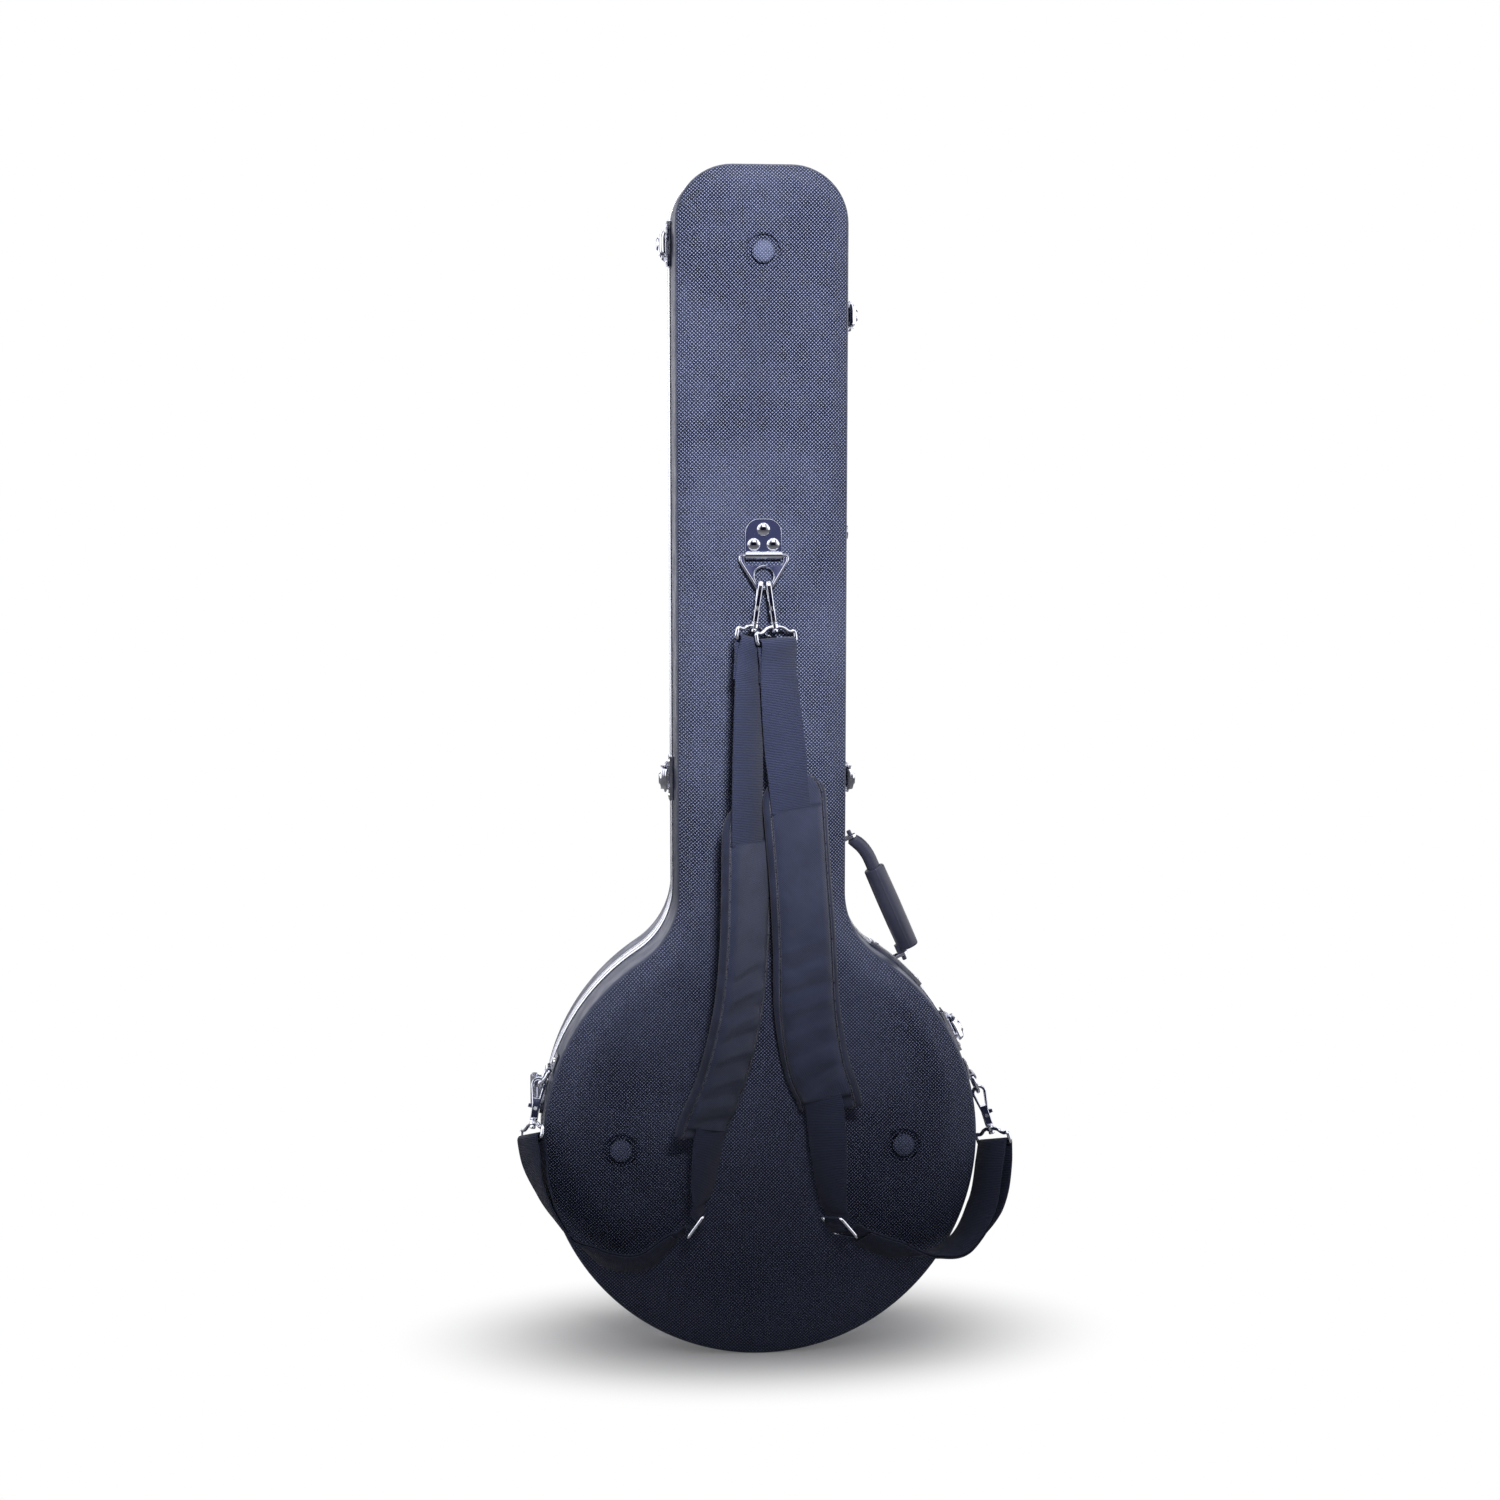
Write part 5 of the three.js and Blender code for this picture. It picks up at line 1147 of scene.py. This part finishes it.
# The straps are woven nylon webbing with fine cross ribs. Each runs from its top loop, where it
# is folded and sewn, under the front panel of its pad, through the slider and round the low
# loop, and back to a sewn end.
webbing_half = 0.018
webbing_thick = 0.0008
webbing_edge = 0.0003
layer_gap = 0.0022
wrap_radius = 0.0036
wrap_settle = 0.018
fold_open_length = 0.080
upper_tail = 0.034
slider_pitch = 0.0115
slider_bar = 0.0026
slider_wave = 0.003
slider_settle = 0.020
slider_sink = 0.0003
fold_end_gap = 0.024
strap_stand_off = 0.025
webbing_step = 0.0015
seam_reach = 0.0016
hem_index = 1
slider_index = 2
straps = {
    "right": {
        "fold": 0.003,
        "pad_shift": (0.007, 0.003),
        "upper": [
            (0.062, 0.8, 0.7875, 24), (0.087, 0.88, 0.6781, 6),
        ],
        "pad": [
            (0.098, 0.98, 0.6335, 14), (0.112, 1, 0.5751, 18), (0.139, 0.96, 0.4611, 18),
            (0.16, 0.84, 0.3456, 12), (0.173, 0.68, 0.2280, 0), (0.211, 0.74, 0.1347, -15),
            (0.254, 0.92, 0.0887, -26), (0.266, 0.96, 0.0662, -28),
        ],
        "lower": [
            (0.281, 1.04, 0.0009, -34), (0.3, 1.08, -0.0842, -54), (0.327, 1.08, -0.1329, -68),
            (0.422, 1, -0.1481, -56), (0.573, 0.88, -0.1738, -52), (0.757, 0.62, -0.1900, -79),
            (0.89, 0.33, -0.1785, -104), (1.01, -0.36, -0.1227, -118),
        ],
    },
    "left": {
        "fold": 0.0006,
        "pad_shift": (0.008, -0.005),
        "upper": [
            (-0.07, 1.08, 0.7916, 42), (-0.08, 1.18, 0.6781, 41),
        ],
        "pad": [
            (-0.084, 1.28, 0.5868, 40), (-0.086, 1.32, 0.5224, 40), (-0.084, 1.3, 0.4611, 40),
            (-0.084, 1.24, 0.3456, 40), (-0.103, 1.18, 0.2361, 39), (-0.168, 1.14, 0.1165, 38),
            (-0.24, 1.14, 0.0429, 38), (-0.2526, 1.14, 0.0234, 39),
        ],
        "lower": [
            (-0.276, 1.1, -0.0477, 50), (-0.289, 1.1, -0.0903, 67), (-0.3, 1.1, -0.1207, 78),
            (-0.427, 1.05, -0.1460, 64), (-0.55, 1, -0.1840, 52), (-0.672, 0.88, -0.1852, 54),
            (-0.759, 0.78, -0.1700, 64), (-0.851, 0.56, -0.1501, 80), (-0.925, 0.34, -0.1126, 78),
            (-0.985, -0.1, -0.0680, 71),
        ],
    },
}


def smooth_step(value, low, high):
    t = min(max((value - low) / (high - low), 0.0), 1.0)
    return t * t * (3 - 2 * t)


def mixed(a, b, share):
    return a + (b - a) * share


def station(share):
    """Place and turn of the strap at one share of the case's sizes."""
    x, stand_off, height, turn = share
    z = body_centre_z + height * (anchor_z - body_centre_z)
    return Vector((x * body_half_width, back_face_y - stand_off * strap_stand_off, z)), math.radians(turn)


def run_frame(run):
    level = Vector((-run.z, 0, run.x)).normalized()
    depth = (Vector((0, 1, 0)) - run * run.y).normalized()
    return level, depth


class Route:
    """The middle line of a strap through its stations, by the distance along it."""

    fineness = 60

    def __init__(self, stations):
        self.places = [place for place, _ in stations]
        self.turns = [turn for _, turn in stations]
        count = self.fineness * (len(stations) - 1)
        self.shares = [i / count for i in range(count + 1)]
        line = [self.point(t) for t in self.shares]
        self.lengths = [0.0]
        for a, b in zip(line, line[1:]):
            self.lengths.append(self.lengths[-1] + (b - a).length)
        self.length = self.lengths[-1]

    def length_to(self, index):
        return self.lengths[index * self.fineness]

    def point(self, t):
        """Centripetal spline through the stations."""
        places = self.places
        scaled = min(max(t, 0.0), 1.0) * (len(places) - 1)
        i = min(int(scaled), len(places) - 2)
        w = scaled - i
        p1, p2 = places[i], places[i + 1]
        p0 = places[i - 1] if i > 0 else places[0] * 2 - places[1]
        p3 = places[i + 2] if i + 2 < len(places) else places[-1] * 2 - places[-2]
        d0, d1, d2 = ((b - a).length ** 0.5 for a, b in ((p0, p1), (p1, p2), (p2, p3)))
        t1 = ((p1 - p0) / d0 - (p2 - p0) / (d0 + d1) + (p2 - p1) / d1) * d1
        t2 = ((p2 - p1) / d1 - (p3 - p1) / (d1 + d2) + (p3 - p2) / d2) * d1
        return p1 + t1 * w + (p1 * -3 + p2 * 3 - t1 * 2 - t2) * w ** 2 + (p1 * 2 - p2 * 2 + t1 + t2) * w ** 3

    def at(self, distance):
        """Place, run, across and normal of the strap at a distance."""
        distance = min(max(distance, 0.0), self.length)
        low, high = 0, len(self.lengths) - 1
        while high - low > 1:
            middle = (low + high) // 2
            low, high = (middle, high) if self.lengths[middle] <= distance else (low, middle)
        part = (distance - self.lengths[low]) / (self.lengths[high] - self.lengths[low])
        t = mixed(self.shares[low], self.shares[high], part)
        small = 1e-4
        run = (self.point(t + small) - self.point(t - small)).normalized()
        scaled = t * (len(self.turns) - 1)
        i = min(int(scaled), len(self.turns) - 2)
        share = smooth_step(scaled - i, 0, 1) / 2 + (scaled - i) / 2
        turn = mixed(self.turns[i], self.turns[i + 1], share)
        level, depth = run_frame(run)
        across = level * math.cos(turn) + depth * math.sin(turn)
        return self.point(t), run, across, run.cross(across)


def bar_stations(bar_place, neighbour, bar, out_of_bar):
    """The end of a route on the bar of a loop, square to that bar."""
    approach = bar_place - neighbour
    approach = (approach - bar * approach.dot(bar)).normalized()
    level, depth = run_frame(-approach if out_of_bar else approach)
    turn = math.atan2(bar.dot(depth), bar.dot(level))
    return [(bar_place - approach * wrap_settle, turn), (bar_place, turn)]


def loop_bar(name):
    place, out, along = (Vector(v) for v in hooks[name])
    return place - along * (hook_reach + loop_drop), Vector(loop_bars[name])


def strap_route(side, strap):
    upper, pad, lower = ([station(share) for share in strap[part]] for part in ("upper", "pad", "lower"))
    top_place, top_bar = loop_bar(f"top_{side}")
    low_place, low_bar = loop_bar(f"low_{side}")
    top_end = bar_stations(top_place, upper[0][0], top_bar, True)[::-1]
    low_end = bar_stations(low_place, lower[-1][0], low_bar, False)
    route = Route(top_end + upper + pad + lower + low_end)
    pad_first = len(top_end) + len(upper)
    return route, pad_first, pad_first + len(pad) - 1


band_edge = 1 - webbing_edge / webbing_half
band_front = [
    (-1, webbing_thick - webbing_edge), (-band_edge, webbing_thick),
    (band_edge, webbing_thick), (1, webbing_thick - webbing_edge),
]
band_section = band_front + [(u, -v) for u, v in reversed(band_front)]


def band_ring(place, across, normal):
    return [place + across * (u * webbing_half) + normal * v for u, v in band_section]


def spaced(start, end, step):
    """Distances from start to end, about a step apart."""
    count = max(1, round(abs(end - start) / step))
    return [start + (end - start) * i / count for i in range(count + 1)]


def wrap_rings(at, way, start):
    """Half a turn of the band round the bar of a loop."""
    place, run, across, normal = at
    steps = 12
    rings = []
    for i in range(1, steps):
        angle = math.pi * i / steps
        out = normal * (start * math.cos(angle)) + run * (way * math.sin(angle))
        rings.append(band_ring(place + out * wrap_radius, across, out * start))
    return rings


def route_ring(route, distance, offset, facing=1):
    place, _, across, normal = route.at(distance)
    return band_ring(place + normal * offset, across, normal * facing)


def upper_webbing(route, end):
    """From the sewn tail behind, round the top loop, and down to the hem of the pad."""
    stops = spaced(0, end, webbing_step)

    def settle(d):
        return smooth_step(d, 0, wrap_settle)

    tail = [route_ring(route, d, mixed(-wrap_radius, -layer_gap, settle(d)))
            for d in reversed([s for s in stops if s <= upper_tail])]
    front_side = [route_ring(route, d, wrap_radius * (1 - settle(d)), -1) for d in stops]
    return tail + wrap_rings(route.at(0), -1, -1) + front_side


def lower_webbing(route, start, slider_at, fold):
    """From the pad over the slider's bar, round the low loop, and back to the sewn end."""
    half = layer_gap / 2

    def spread(d):
        near = 1 - smooth_step(d, 0, fold_open_length)
        bulge = fold * math.sin(math.pi * min(max(d / fold_open_length, 0), 1))
        return half * (1 - near) + bulge, half + (wrap_radius - half) * near + bulge

    def wave(distance):
        d = abs(distance - slider_at)
        if d <= slider_pitch:
            return slider_wave * math.cos(math.pi * d / slider_pitch)
        return -slider_wave * (1 - smooth_step(d, slider_pitch + slider_bar / 2, slider_settle))

    stops = spaced(start, route.length, webbing_step)
    out = []
    for s in stops:
        middle, apart = spread(route.length - s)
        away = wave(s) if abs(s - slider_at) < slider_settle else 0.0
        out.append(route_ring(route, s, middle - apart + away))
    back_side = []
    for s in reversed([s for s in stops if s >= slider_at + fold_end_gap]):
        middle, apart = spread(route.length - s)
        back_side.append(route_ring(route, s, middle + apart, -1))
    return out + wrap_rings(route.at(route.length), 1, -1) + back_side


def bell(distance):
    """1 on a seam, falling off within its reach."""
    return math.exp(-(distance / seam_reach) ** 2)


def marked(piece, rings, shares, seams=()):
    """Writes each point's distance along the run, share across it and closeness to a seam."""
    run, seam, across = (
        piece.data.attributes.new(name, "FLOAT", "POINT")
        for name in ("run", "seam", "across")
    )
    distance = 0.0
    index = 0
    before = None
    for ring in rings:
        middle = sum(ring, Vector()) / len(ring)
        distance += (middle - before).length if before else 0.0
        before = middle
        near = max([bell(distance - at) for at in seams], default=0.0)
        for share in shares:
            run.data[index].value = distance
            across.data[index].value = share
            seam.data[index].value = near
            index += 1
    return piece


def ribbed_webbing():
    """Navy nylon with ribs across it and a fine warp, the furrows between the ribs painted dark as their
    shade.
    """
    rib = 0.0014
    finish = Finish("ribbed_webbing", shade(54, 56, 74), 0.72,
                    Specular_IOR_Level=0.25, Sheen_Weight=0.08, Sheen_Roughness=0.45)
    wobble = finish.times(finish.noise(500.0, 2.0), 0.5)
    turns = finish.plus(finish.maths("DIVIDE", finish.mark("run"), rib), wobble)
    ribs = finish.ribs(finish.times(turns, math.pi))
    warp = finish.ribs(finish.times(finish.mark("across"), 60.0))
    weave = finish.plus(finish.times(ribs, 0.8), finish.times(warp, 0.2))
    # The ribs are painted light and the furrows between them dark, as painted shade of the weave.
    finish.colour(finish.tint(weave, shade(6, 7, 13), shade(52, 57, 80)))
    finish.bump(weave, 0.00035)
    return finish.material


webbing_weave = ribbed_webbing()
routes = {}
for side, strap in straps.items():
    route, pad_first, pad_last = strap_route(side, strap)
    slider_at = route.length_to(pad_last + 1 + slider_index)
    routes[side] = (route, pad_first, pad_last, slider_at)
    runs = {
        "upper": upper_webbing(route, route.length_to(pad_first + hem_index)),
        "lower": lower_webbing(route, route.length_to(pad_last - hem_index), slider_at, strap["fold"]),
    }
    for part, rings in runs.items():
        band = new_object(f"woven_{part}_{side}", *loft(rings))
        marked(band, rings, [u for u, _ in band_section])
        fitted(band, webbing_weave, "webbing", "case", f"webbing_{part}_{side}", crease=60)

# The sliders are plated steel wire frames with a flat middle bar. The webbing is woven over
# that bar, which grips it.
slider_half = 0.0226
slider_wire = 0.0013
slider_corner = 0.004


def slider():
    """A frame with round corners and the bar across its middle."""
    half = slider_half - slider_wire
    low, high = -slider_pitch, slider_pitch
    corners = upright([(-half, low), (half, low), (half, high), (-half, high)])
    rim = wire(rounded_path(corners, slider_corner, 6, True), slider_wire, True)
    return merged(rim, wire(upright([(-half, 0), (half, 0)]), slider_wire * 1.05))


for side, (route, _, _, slider_at) in routes.items():
    place, run, across, normal = route.at(slider_at)
    where = framed(place - normal * slider_sink, across, run)
    glide = new_object(f"wire_slider_{side}", *moved(slider(), where))
    fitted(glide, chrome, "chrome", "case", f"strap_slider_{side}")

# Each shoulder pad is a strip of foam between twill cloth, bound along its edges with tape and
# stitched inside the tape. The front panel is hemmed at both ends, where the webbing comes
# out from under it, and its lower half has crossways creases.
pad_half_width = 0.030
pad_half_thickness = 0.005
pad_turn_in = 0.0014
pad_corner = 0.024
pad_foot_corner = 0.007
pad_binding_share = 0.34
pad_drop = pad_half_thickness + 0.0006 + webbing_thick
panel_raise = 0.0030
panel_share = 0.80
binding_rise = 0.0008
pad_step = 0.0015
pad_groove = 0.81
hem_edge = 0.0012
hem_roll_inset = 0.002
hem_roll_height = 0.0004
hem_overlap = 0.003
crease_pitch = 0.026
crease_height = 0.0015
crease_from = 0.35
crease_full = 0.6
fine_pitch = 0.011
fine_height = 0.0003
stitch_length = 0.0023
stitch_gap = 0.0032
stitch_radius = 0.0005
stitch_lift = 0.0001
stitch_lines = (0.84, 0.78)
pad_seeds = {"right": 0.17, "left": 0.61}

# The section of the pad, as shares of its half width and half thickness.
pad_front = [
    (0.2, 1.0), (0.38, 1.0), (0.55, 0.97), (0.70, 0.90),
    (0.78, 0.78), (0.81, 0.50), (0.84, 0.72), (0.90, 0.62),
]
pad_edge = [(0.985, 0.34), (1.0, 0.0), (0.985, -0.3)]
pad_back = [(0.93, -0.5), (0.84, -0.62), (0.81, -0.58), (0.7, -0.76), (0.5, -0.84), (0.25, -0.86)]
pad_right = pad_front + pad_edge + pad_back
pad_section = [(0.0, 1.0)] + pad_right + [(0.0, -0.86)] + [(-u, v) for u, v in reversed(pad_right)]


def pad_twill():
    """Navy twill with a diagonal rib, smoother on the binding tape, with painted shade in the furrows of the
    rib, in its grooves and along its hems.
    """
    rib = 0.0018
    finish = Finish("pad_twill", shade(52, 54, 70), 0.7,
                    Specular_IOR_Level=0.35, Sheen_Weight=0.1, Sheen_Roughness=0.5)
    run, across = finish.mark("run"), finish.mark("across")
    width = finish.times(across, pad_half_width)
    diagonals = [
        finish.ribs(finish.times(finish.maths("DIVIDE", way, rib), math.pi))
        for way in (finish.plus(width, run), finish.less(width, run))
    ]
    weave = finish.plus(finish.times(diagonals[0], 0.75), finish.times(diagonals[1], 0.25))
    from_middle = finish.maths("ABSOLUTE", across)
    on_tape = finish.ramp(from_middle, panel_share - 0.01, panel_share + 0.01)
    plain = finish.less(1.0, on_tape)
    # The furrows of the twill are painted dark as their shade.
    cloth = finish.times(weave, finish.plus(finish.times(plain, 0.45), 0.55))
    # Painted shade in the stitched groove beside the binding and across the panel at its hems.
    from_groove = finish.maths("ABSOLUTE", finish.less(from_middle, pad_groove))
    hem = finish.times(finish.mark("seam"), plain)
    groove = finish.maths("MAXIMUM", finish.ramp(from_groove, 0.035, 0.008), hem)
    cloth = finish.times(cloth, finish.less(1.0, finish.times(groove, 0.9)))
    dusty = finish.ramp(finish.noise(40.0), 0.35, 0.7, 0.0, 0.25)
    finish.colour(finish.tint(finish.plus(cloth, dusty), shade(5, 6, 12), shade(50, 55, 77)))
    finish.bump(cloth, 0.0004)
    return finish.material


pad_cloth = pad_twill()


def pad_rings(route, start, end, hems, shift, seed):
    """The pad's skin: round at its top, with the hemmed panel raised and creased lower down."""
    hem_top, hem_foot = hems
    rings = []
    for s in spaced(start, end, pad_step):
        share = (s - start) / (end - start)
        top = min(max((s - start) / pad_corner, 0.0), 1.0)
        foot = min(max((end - s) / pad_foot_corner, 0.0), 1.0)
        rounding = math.sqrt(1 - (1 - top) ** 2) * (1 - pad_binding_share) + pad_binding_share
        foot_share = math.sqrt(1 - (1 - foot) ** 2) * pad_binding_share + 1 - pad_binding_share / 2
        turned_in = pad_turn_in * math.sin(math.pi * share)
        half_width = pad_half_width * rounding * min(1.0, foot_share) - turned_in
        puff = mixed(pad_binding_share, 1.0, math.sqrt(min(top, foot * 2, 1.0)))
        sideways = mixed(shift[0], shift[1], share)
        on_panel = smooth_step(s, hem_top, hem_top + hem_edge)
        on_panel *= 1 - smooth_step(s, hem_foot - hem_edge, hem_foot)
        rolled = bell(s - hem_top - hem_roll_inset) + bell(s - hem_foot + hem_roll_inset)
        creased = smooth_step(share, crease_from, crease_full)
        place, _, across, normal = route.at(s)
        ring = []
        for u, v in pad_section:
            raised = 0.0
            if v > 0:
                cover = 1 - smooth_step(abs(u), panel_share - 0.12, panel_share - 0.01)
                wave = math.sin(2 * math.pi * (s / crease_pitch + seed) + 1.2 * math.sin(3 * u + seed))
                fine = math.sin(2 * math.pi * (s / fine_pitch + 0.7 * u + seed * 3))
                crease = creased * (crease_height * wave + fine_height * fine) * cover
                raised = (panel_raise + hem_roll_height * rolled) * on_panel * cover + crease
                if abs(u) > panel_share:
                    on_binding = min(1.0, (abs(u) - panel_share) / (1 - panel_share))
                    raised += binding_rise * math.sin(math.pi * on_binding)
            height = v * pad_half_thickness * puff - pad_drop + raised
            ring.append(place + across * (sideways + u * half_width) + normal * height)
        rings.append(ring)
    return rings


def stitches(rings, column):
    """Short thread stitches along one column of a skin, with their ends sunk in."""
    parts = []
    distance, next_at = 0.0, stitch_gap
    for i in range(1, len(rings)):
        place, before = rings[i][column], rings[i - 1][column]
        distance += (place - before).length
        if distance < next_at:
            continue
        next_at += stitch_gap
        run = (place - before).normalized()
        after = rings[min(i + 1, len(rings) - 1)][column]
        side = rings[i][(column + 1) % len(rings[i])] - rings[i][column - 1]
        out = (after - before).cross(side).normalized()
        middle = sum(rings[i], Vector()) / len(rings[i])
        if out.dot(place - middle) < 0:
            out = -out
        thread_line = [
            place + run * (stitch_length * share / 2) + out * lift
            for share, lift in (
                (-1, stitch_lift - stitch_radius), (-0.6, stitch_lift), (0, stitch_lift), (0.6, stitch_lift),
                (1, stitch_lift - stitch_radius))
        ]
        parts.append(wire(thread_line, stitch_radius, sides=6))
    return parts


def seam_thread():
    finish = Finish("seam_thread", shade(46, 48, 64), 0.6, Sheen_Weight=0.3)
    finish.colour(finish.tint(finish.noise(800.0), shade(26, 28, 42), shade(62, 65, 86)))
    finish.bump(finish.noise(2500.0), 0.0001)
    return finish.material


thread = seam_thread()
for side, (route, pad_first, pad_last, _) in routes.items():
    start, end = route.length_to(pad_first), route.length_to(pad_last)
    hem_top = route.length_to(pad_first + hem_index) - hem_overlap
    hem_foot = route.length_to(pad_last - hem_index) + hem_overlap
    hems = (hem_top, hem_foot)
    rings = pad_rings(route, start, end, hems, straps[side]["pad_shift"], pad_seeds[side])
    pad = new_object(f"bound_pad_{side}", *loft(rings))
    marked(pad, rings, [u for u, _ in pad_section], [hem - start for hem in hems])
    fitted(pad, pad_cloth, "pad_fabric", "case", f"shoulder_pad_{side}", crease=70)
    sewn = []
    for line in stitch_lines:
        for column, (u, v) in enumerate(pad_section):
            if abs(u) == line and v > 0:
                sewn += stitches(rings, column)
    seams = new_object(f"pad_seams_{side}", *merged(*sewn))
    fitted(seams, thread, "pad_fabric", "case", crease=180)

# The case stands on a plain white floor against white. Near the case the floor is lit and shaded
# by the lamps, and a fade to plain white further out paints the soft elliptical edge of the shadow.
floor_half = 6.0
floor_white_from = 0.09
floor_white_to = 0.34
floor_depth_share = 1.75
floor_lift = 0.12


def white_floor():
    """A pale matt floor. Lenses see it a little lighter, and plain white beyond a painted elliptical shadow
    edge round the case.
    """
    finish = Finish("white_floor", (0.86, 0.86, 0.87, 1.0), 0.9)
    place = finish.node("SeparateXYZ", Vector=finish.place()).outputs
    # Painted shadow: the floor stays grey within an ellipse round the case and fades to plain white outside
    # it.
    depth = finish.times(place["Y"], floor_depth_share)
    squares = [finish.maths("POWER", way, 2.0) for way in (place["X"], depth)]
    outside_painted_shadow = finish.ramp(finish.maths("SQRT", finish.plus(*squares)), floor_white_from, floor_white_to)
    path = finish.node("LightPath").outputs
    seen = finish.maths("MAXIMUM", path["Is Camera Ray"], path["Is Transmission Ray"])
    lift = finish.node("Emission", Strength=finish.times(seen, floor_lift))
    lifted = finish.joined("AddShader", finish.shader.outputs[0], lift.outputs[0])
    white = finish.node("Emission")
    surface = finish.joined("MixShader", finish.times(outside_painted_shadow, seen), lifted, white.outputs[0])
    finish.put(surface, finish.tree.nodes["Material Output"].inputs["Surface"])
    return finish.material


floor_low = cad_box[0].z
floor_corners = [
    (x * floor_half, y * floor_half, floor_low)
    for x, y in ((-1, -1), (1, -1), (1, 1), (-1, 1))
]
floor = new_object("floor", floor_corners, [(0, 1, 2, 3)])
floor.data.materials.append(white_floor())

# The camera stands 2.2 m behind the case, a little to the left and above its middle, as the
# photograph does. It looks slightly down and has a long lens with everything in focus.
camera_place = Vector((-0.1856, -2.1867, 0.7494))
camera_heading = Vector((0.0821, 0.9966, 0.0)).normalized()
camera_pitch = math.radians(5.641)
camera_lens = 59.48
camera_sensor = 36.0
camera_reach = 30.0

camera_data = bpy.data.cameras.new("camera")
camera_data.lens = camera_lens
camera_data.sensor_width = camera_sensor
camera_data.clip_end = camera_reach
camera = bpy.data.objects.new("camera", camera_data)
bpy.context.collection.objects.link(camera)
camera_aim = camera_heading * math.cos(camera_pitch) - Vector((0, 0, math.sin(camera_pitch)))
camera.location = camera_place
camera.rotation_euler = camera_aim.to_track_quat("-Z", "Y").to_euler()
bpy.context.scene.camera = camera

# The studio is a white room with soft light. Behind the camera it is dark, which gives the
# plated parts their dark faces and bright edges. The flat faces of the anchor, its ring plate
# and the hooks also carry a painted dark reflection.
room_light = 0.06
room_dark = shade(14, 15, 34)
room_bright = 1.5
dark_side_from = -0.95
dark_side_to = -0.6
screen_scale = 2.6
screen_from = 0.36
screen_to = 0.5


def studio():
    """Dim even light, plain white to the lens, and a room with bright screens in the metal."""
    world = bpy.data.worlds.new("studio")
    bpy.context.scene.world = world
    world.use_nodes = True
    room = Nodes(world.node_tree)
    soft = room.tree.nodes["Background"]
    soft.inputs["Color"].default_value = (room_light, room_light, room_light * 1.08, 1)
    plain = room.node("Background", Color=(1, 1, 1, 1))
    heading = room.node("SeparateXYZ", Vector=room.node("TexCoord").outputs["Generated"])
    bright = room.ramp(heading.outputs["Y"], dark_side_from, dark_side_to)
    screens = room.node("TexNoise", Scale=screen_scale, Detail=0.0)
    patchy = room.times(bright, room.ramp(screens.outputs["Fac"], screen_from, screen_to))
    room_white = (room_bright, room_bright, room_bright * 1.06, 1)
    mirrored = room.node("Background", Color=room.tint(patchy, room_dark, room_white))
    path = room.node("LightPath").outputs
    by_mirror = room.joined("MixShader", path["Is Glossy Ray"], soft.outputs[0], mirrored.outputs[0])
    lens = room.maths("MAXIMUM", path["Is Camera Ray"], path["Is Transmission Ray"])
    seen = room.joined("MixShader", lens, by_mirror, plain.outputs[0])
    room.put(seen, room.tree.nodes["World Output"].inputs["Surface"])


def lamp(name, kind, place, aim, power):
    """A lamp that looks from its place at its aim."""
    data = bpy.data.lights.new(name, kind)
    data.energy = power
    made = bpy.data.objects.new(name, data)
    bpy.context.collection.objects.link(made)
    made.location = place
    made.rotation_euler = (Vector(aim) - Vector(place)).to_track_quat("-Z", "Y").to_euler()
    return made


studio()
case_foot = (0, 0, 0)
case_middle = (0, 0, 0.5)
case_shoulder = (0, 0, 0.7)
case_neck = (0, 0, 0.84)
panels = {
    "left_lamp": ((-2.2, -0.25, 1.6), case_middle, 5, (1.2, 1.6)),
    "right_lamp": ((2.1, -0.3, 1.5), case_middle, 3, (1.2, 1.6)),
    "front_lamp": ((0.15, -1.3, 1.5), case_shoulder, 2, (0.8, 0.6)),
    "top_lamp": ((0, 0.1, 2.4), case_foot, 5, (1.6, 1.0)),
}
for name, (place, aim, power, size) in panels.items():
    panel = lamp(name, "AREA", place, aim, power).data
    panel.shape = "RECTANGLE"
    panel.size, panel.size_y = size
neck_light = lamp("neck_lamp", "SPOT", (0.1, -2.0, 1.5), case_neck, 560)
neck_light.data.spot_size = math.radians(35)
neck_light.data.spot_blend = 1.0
neck_light.data.shadow_soft_size = 0.18
neck_light.visible_glossy = False

bpy.context.scene.view_settings.view_transform = "Standard"
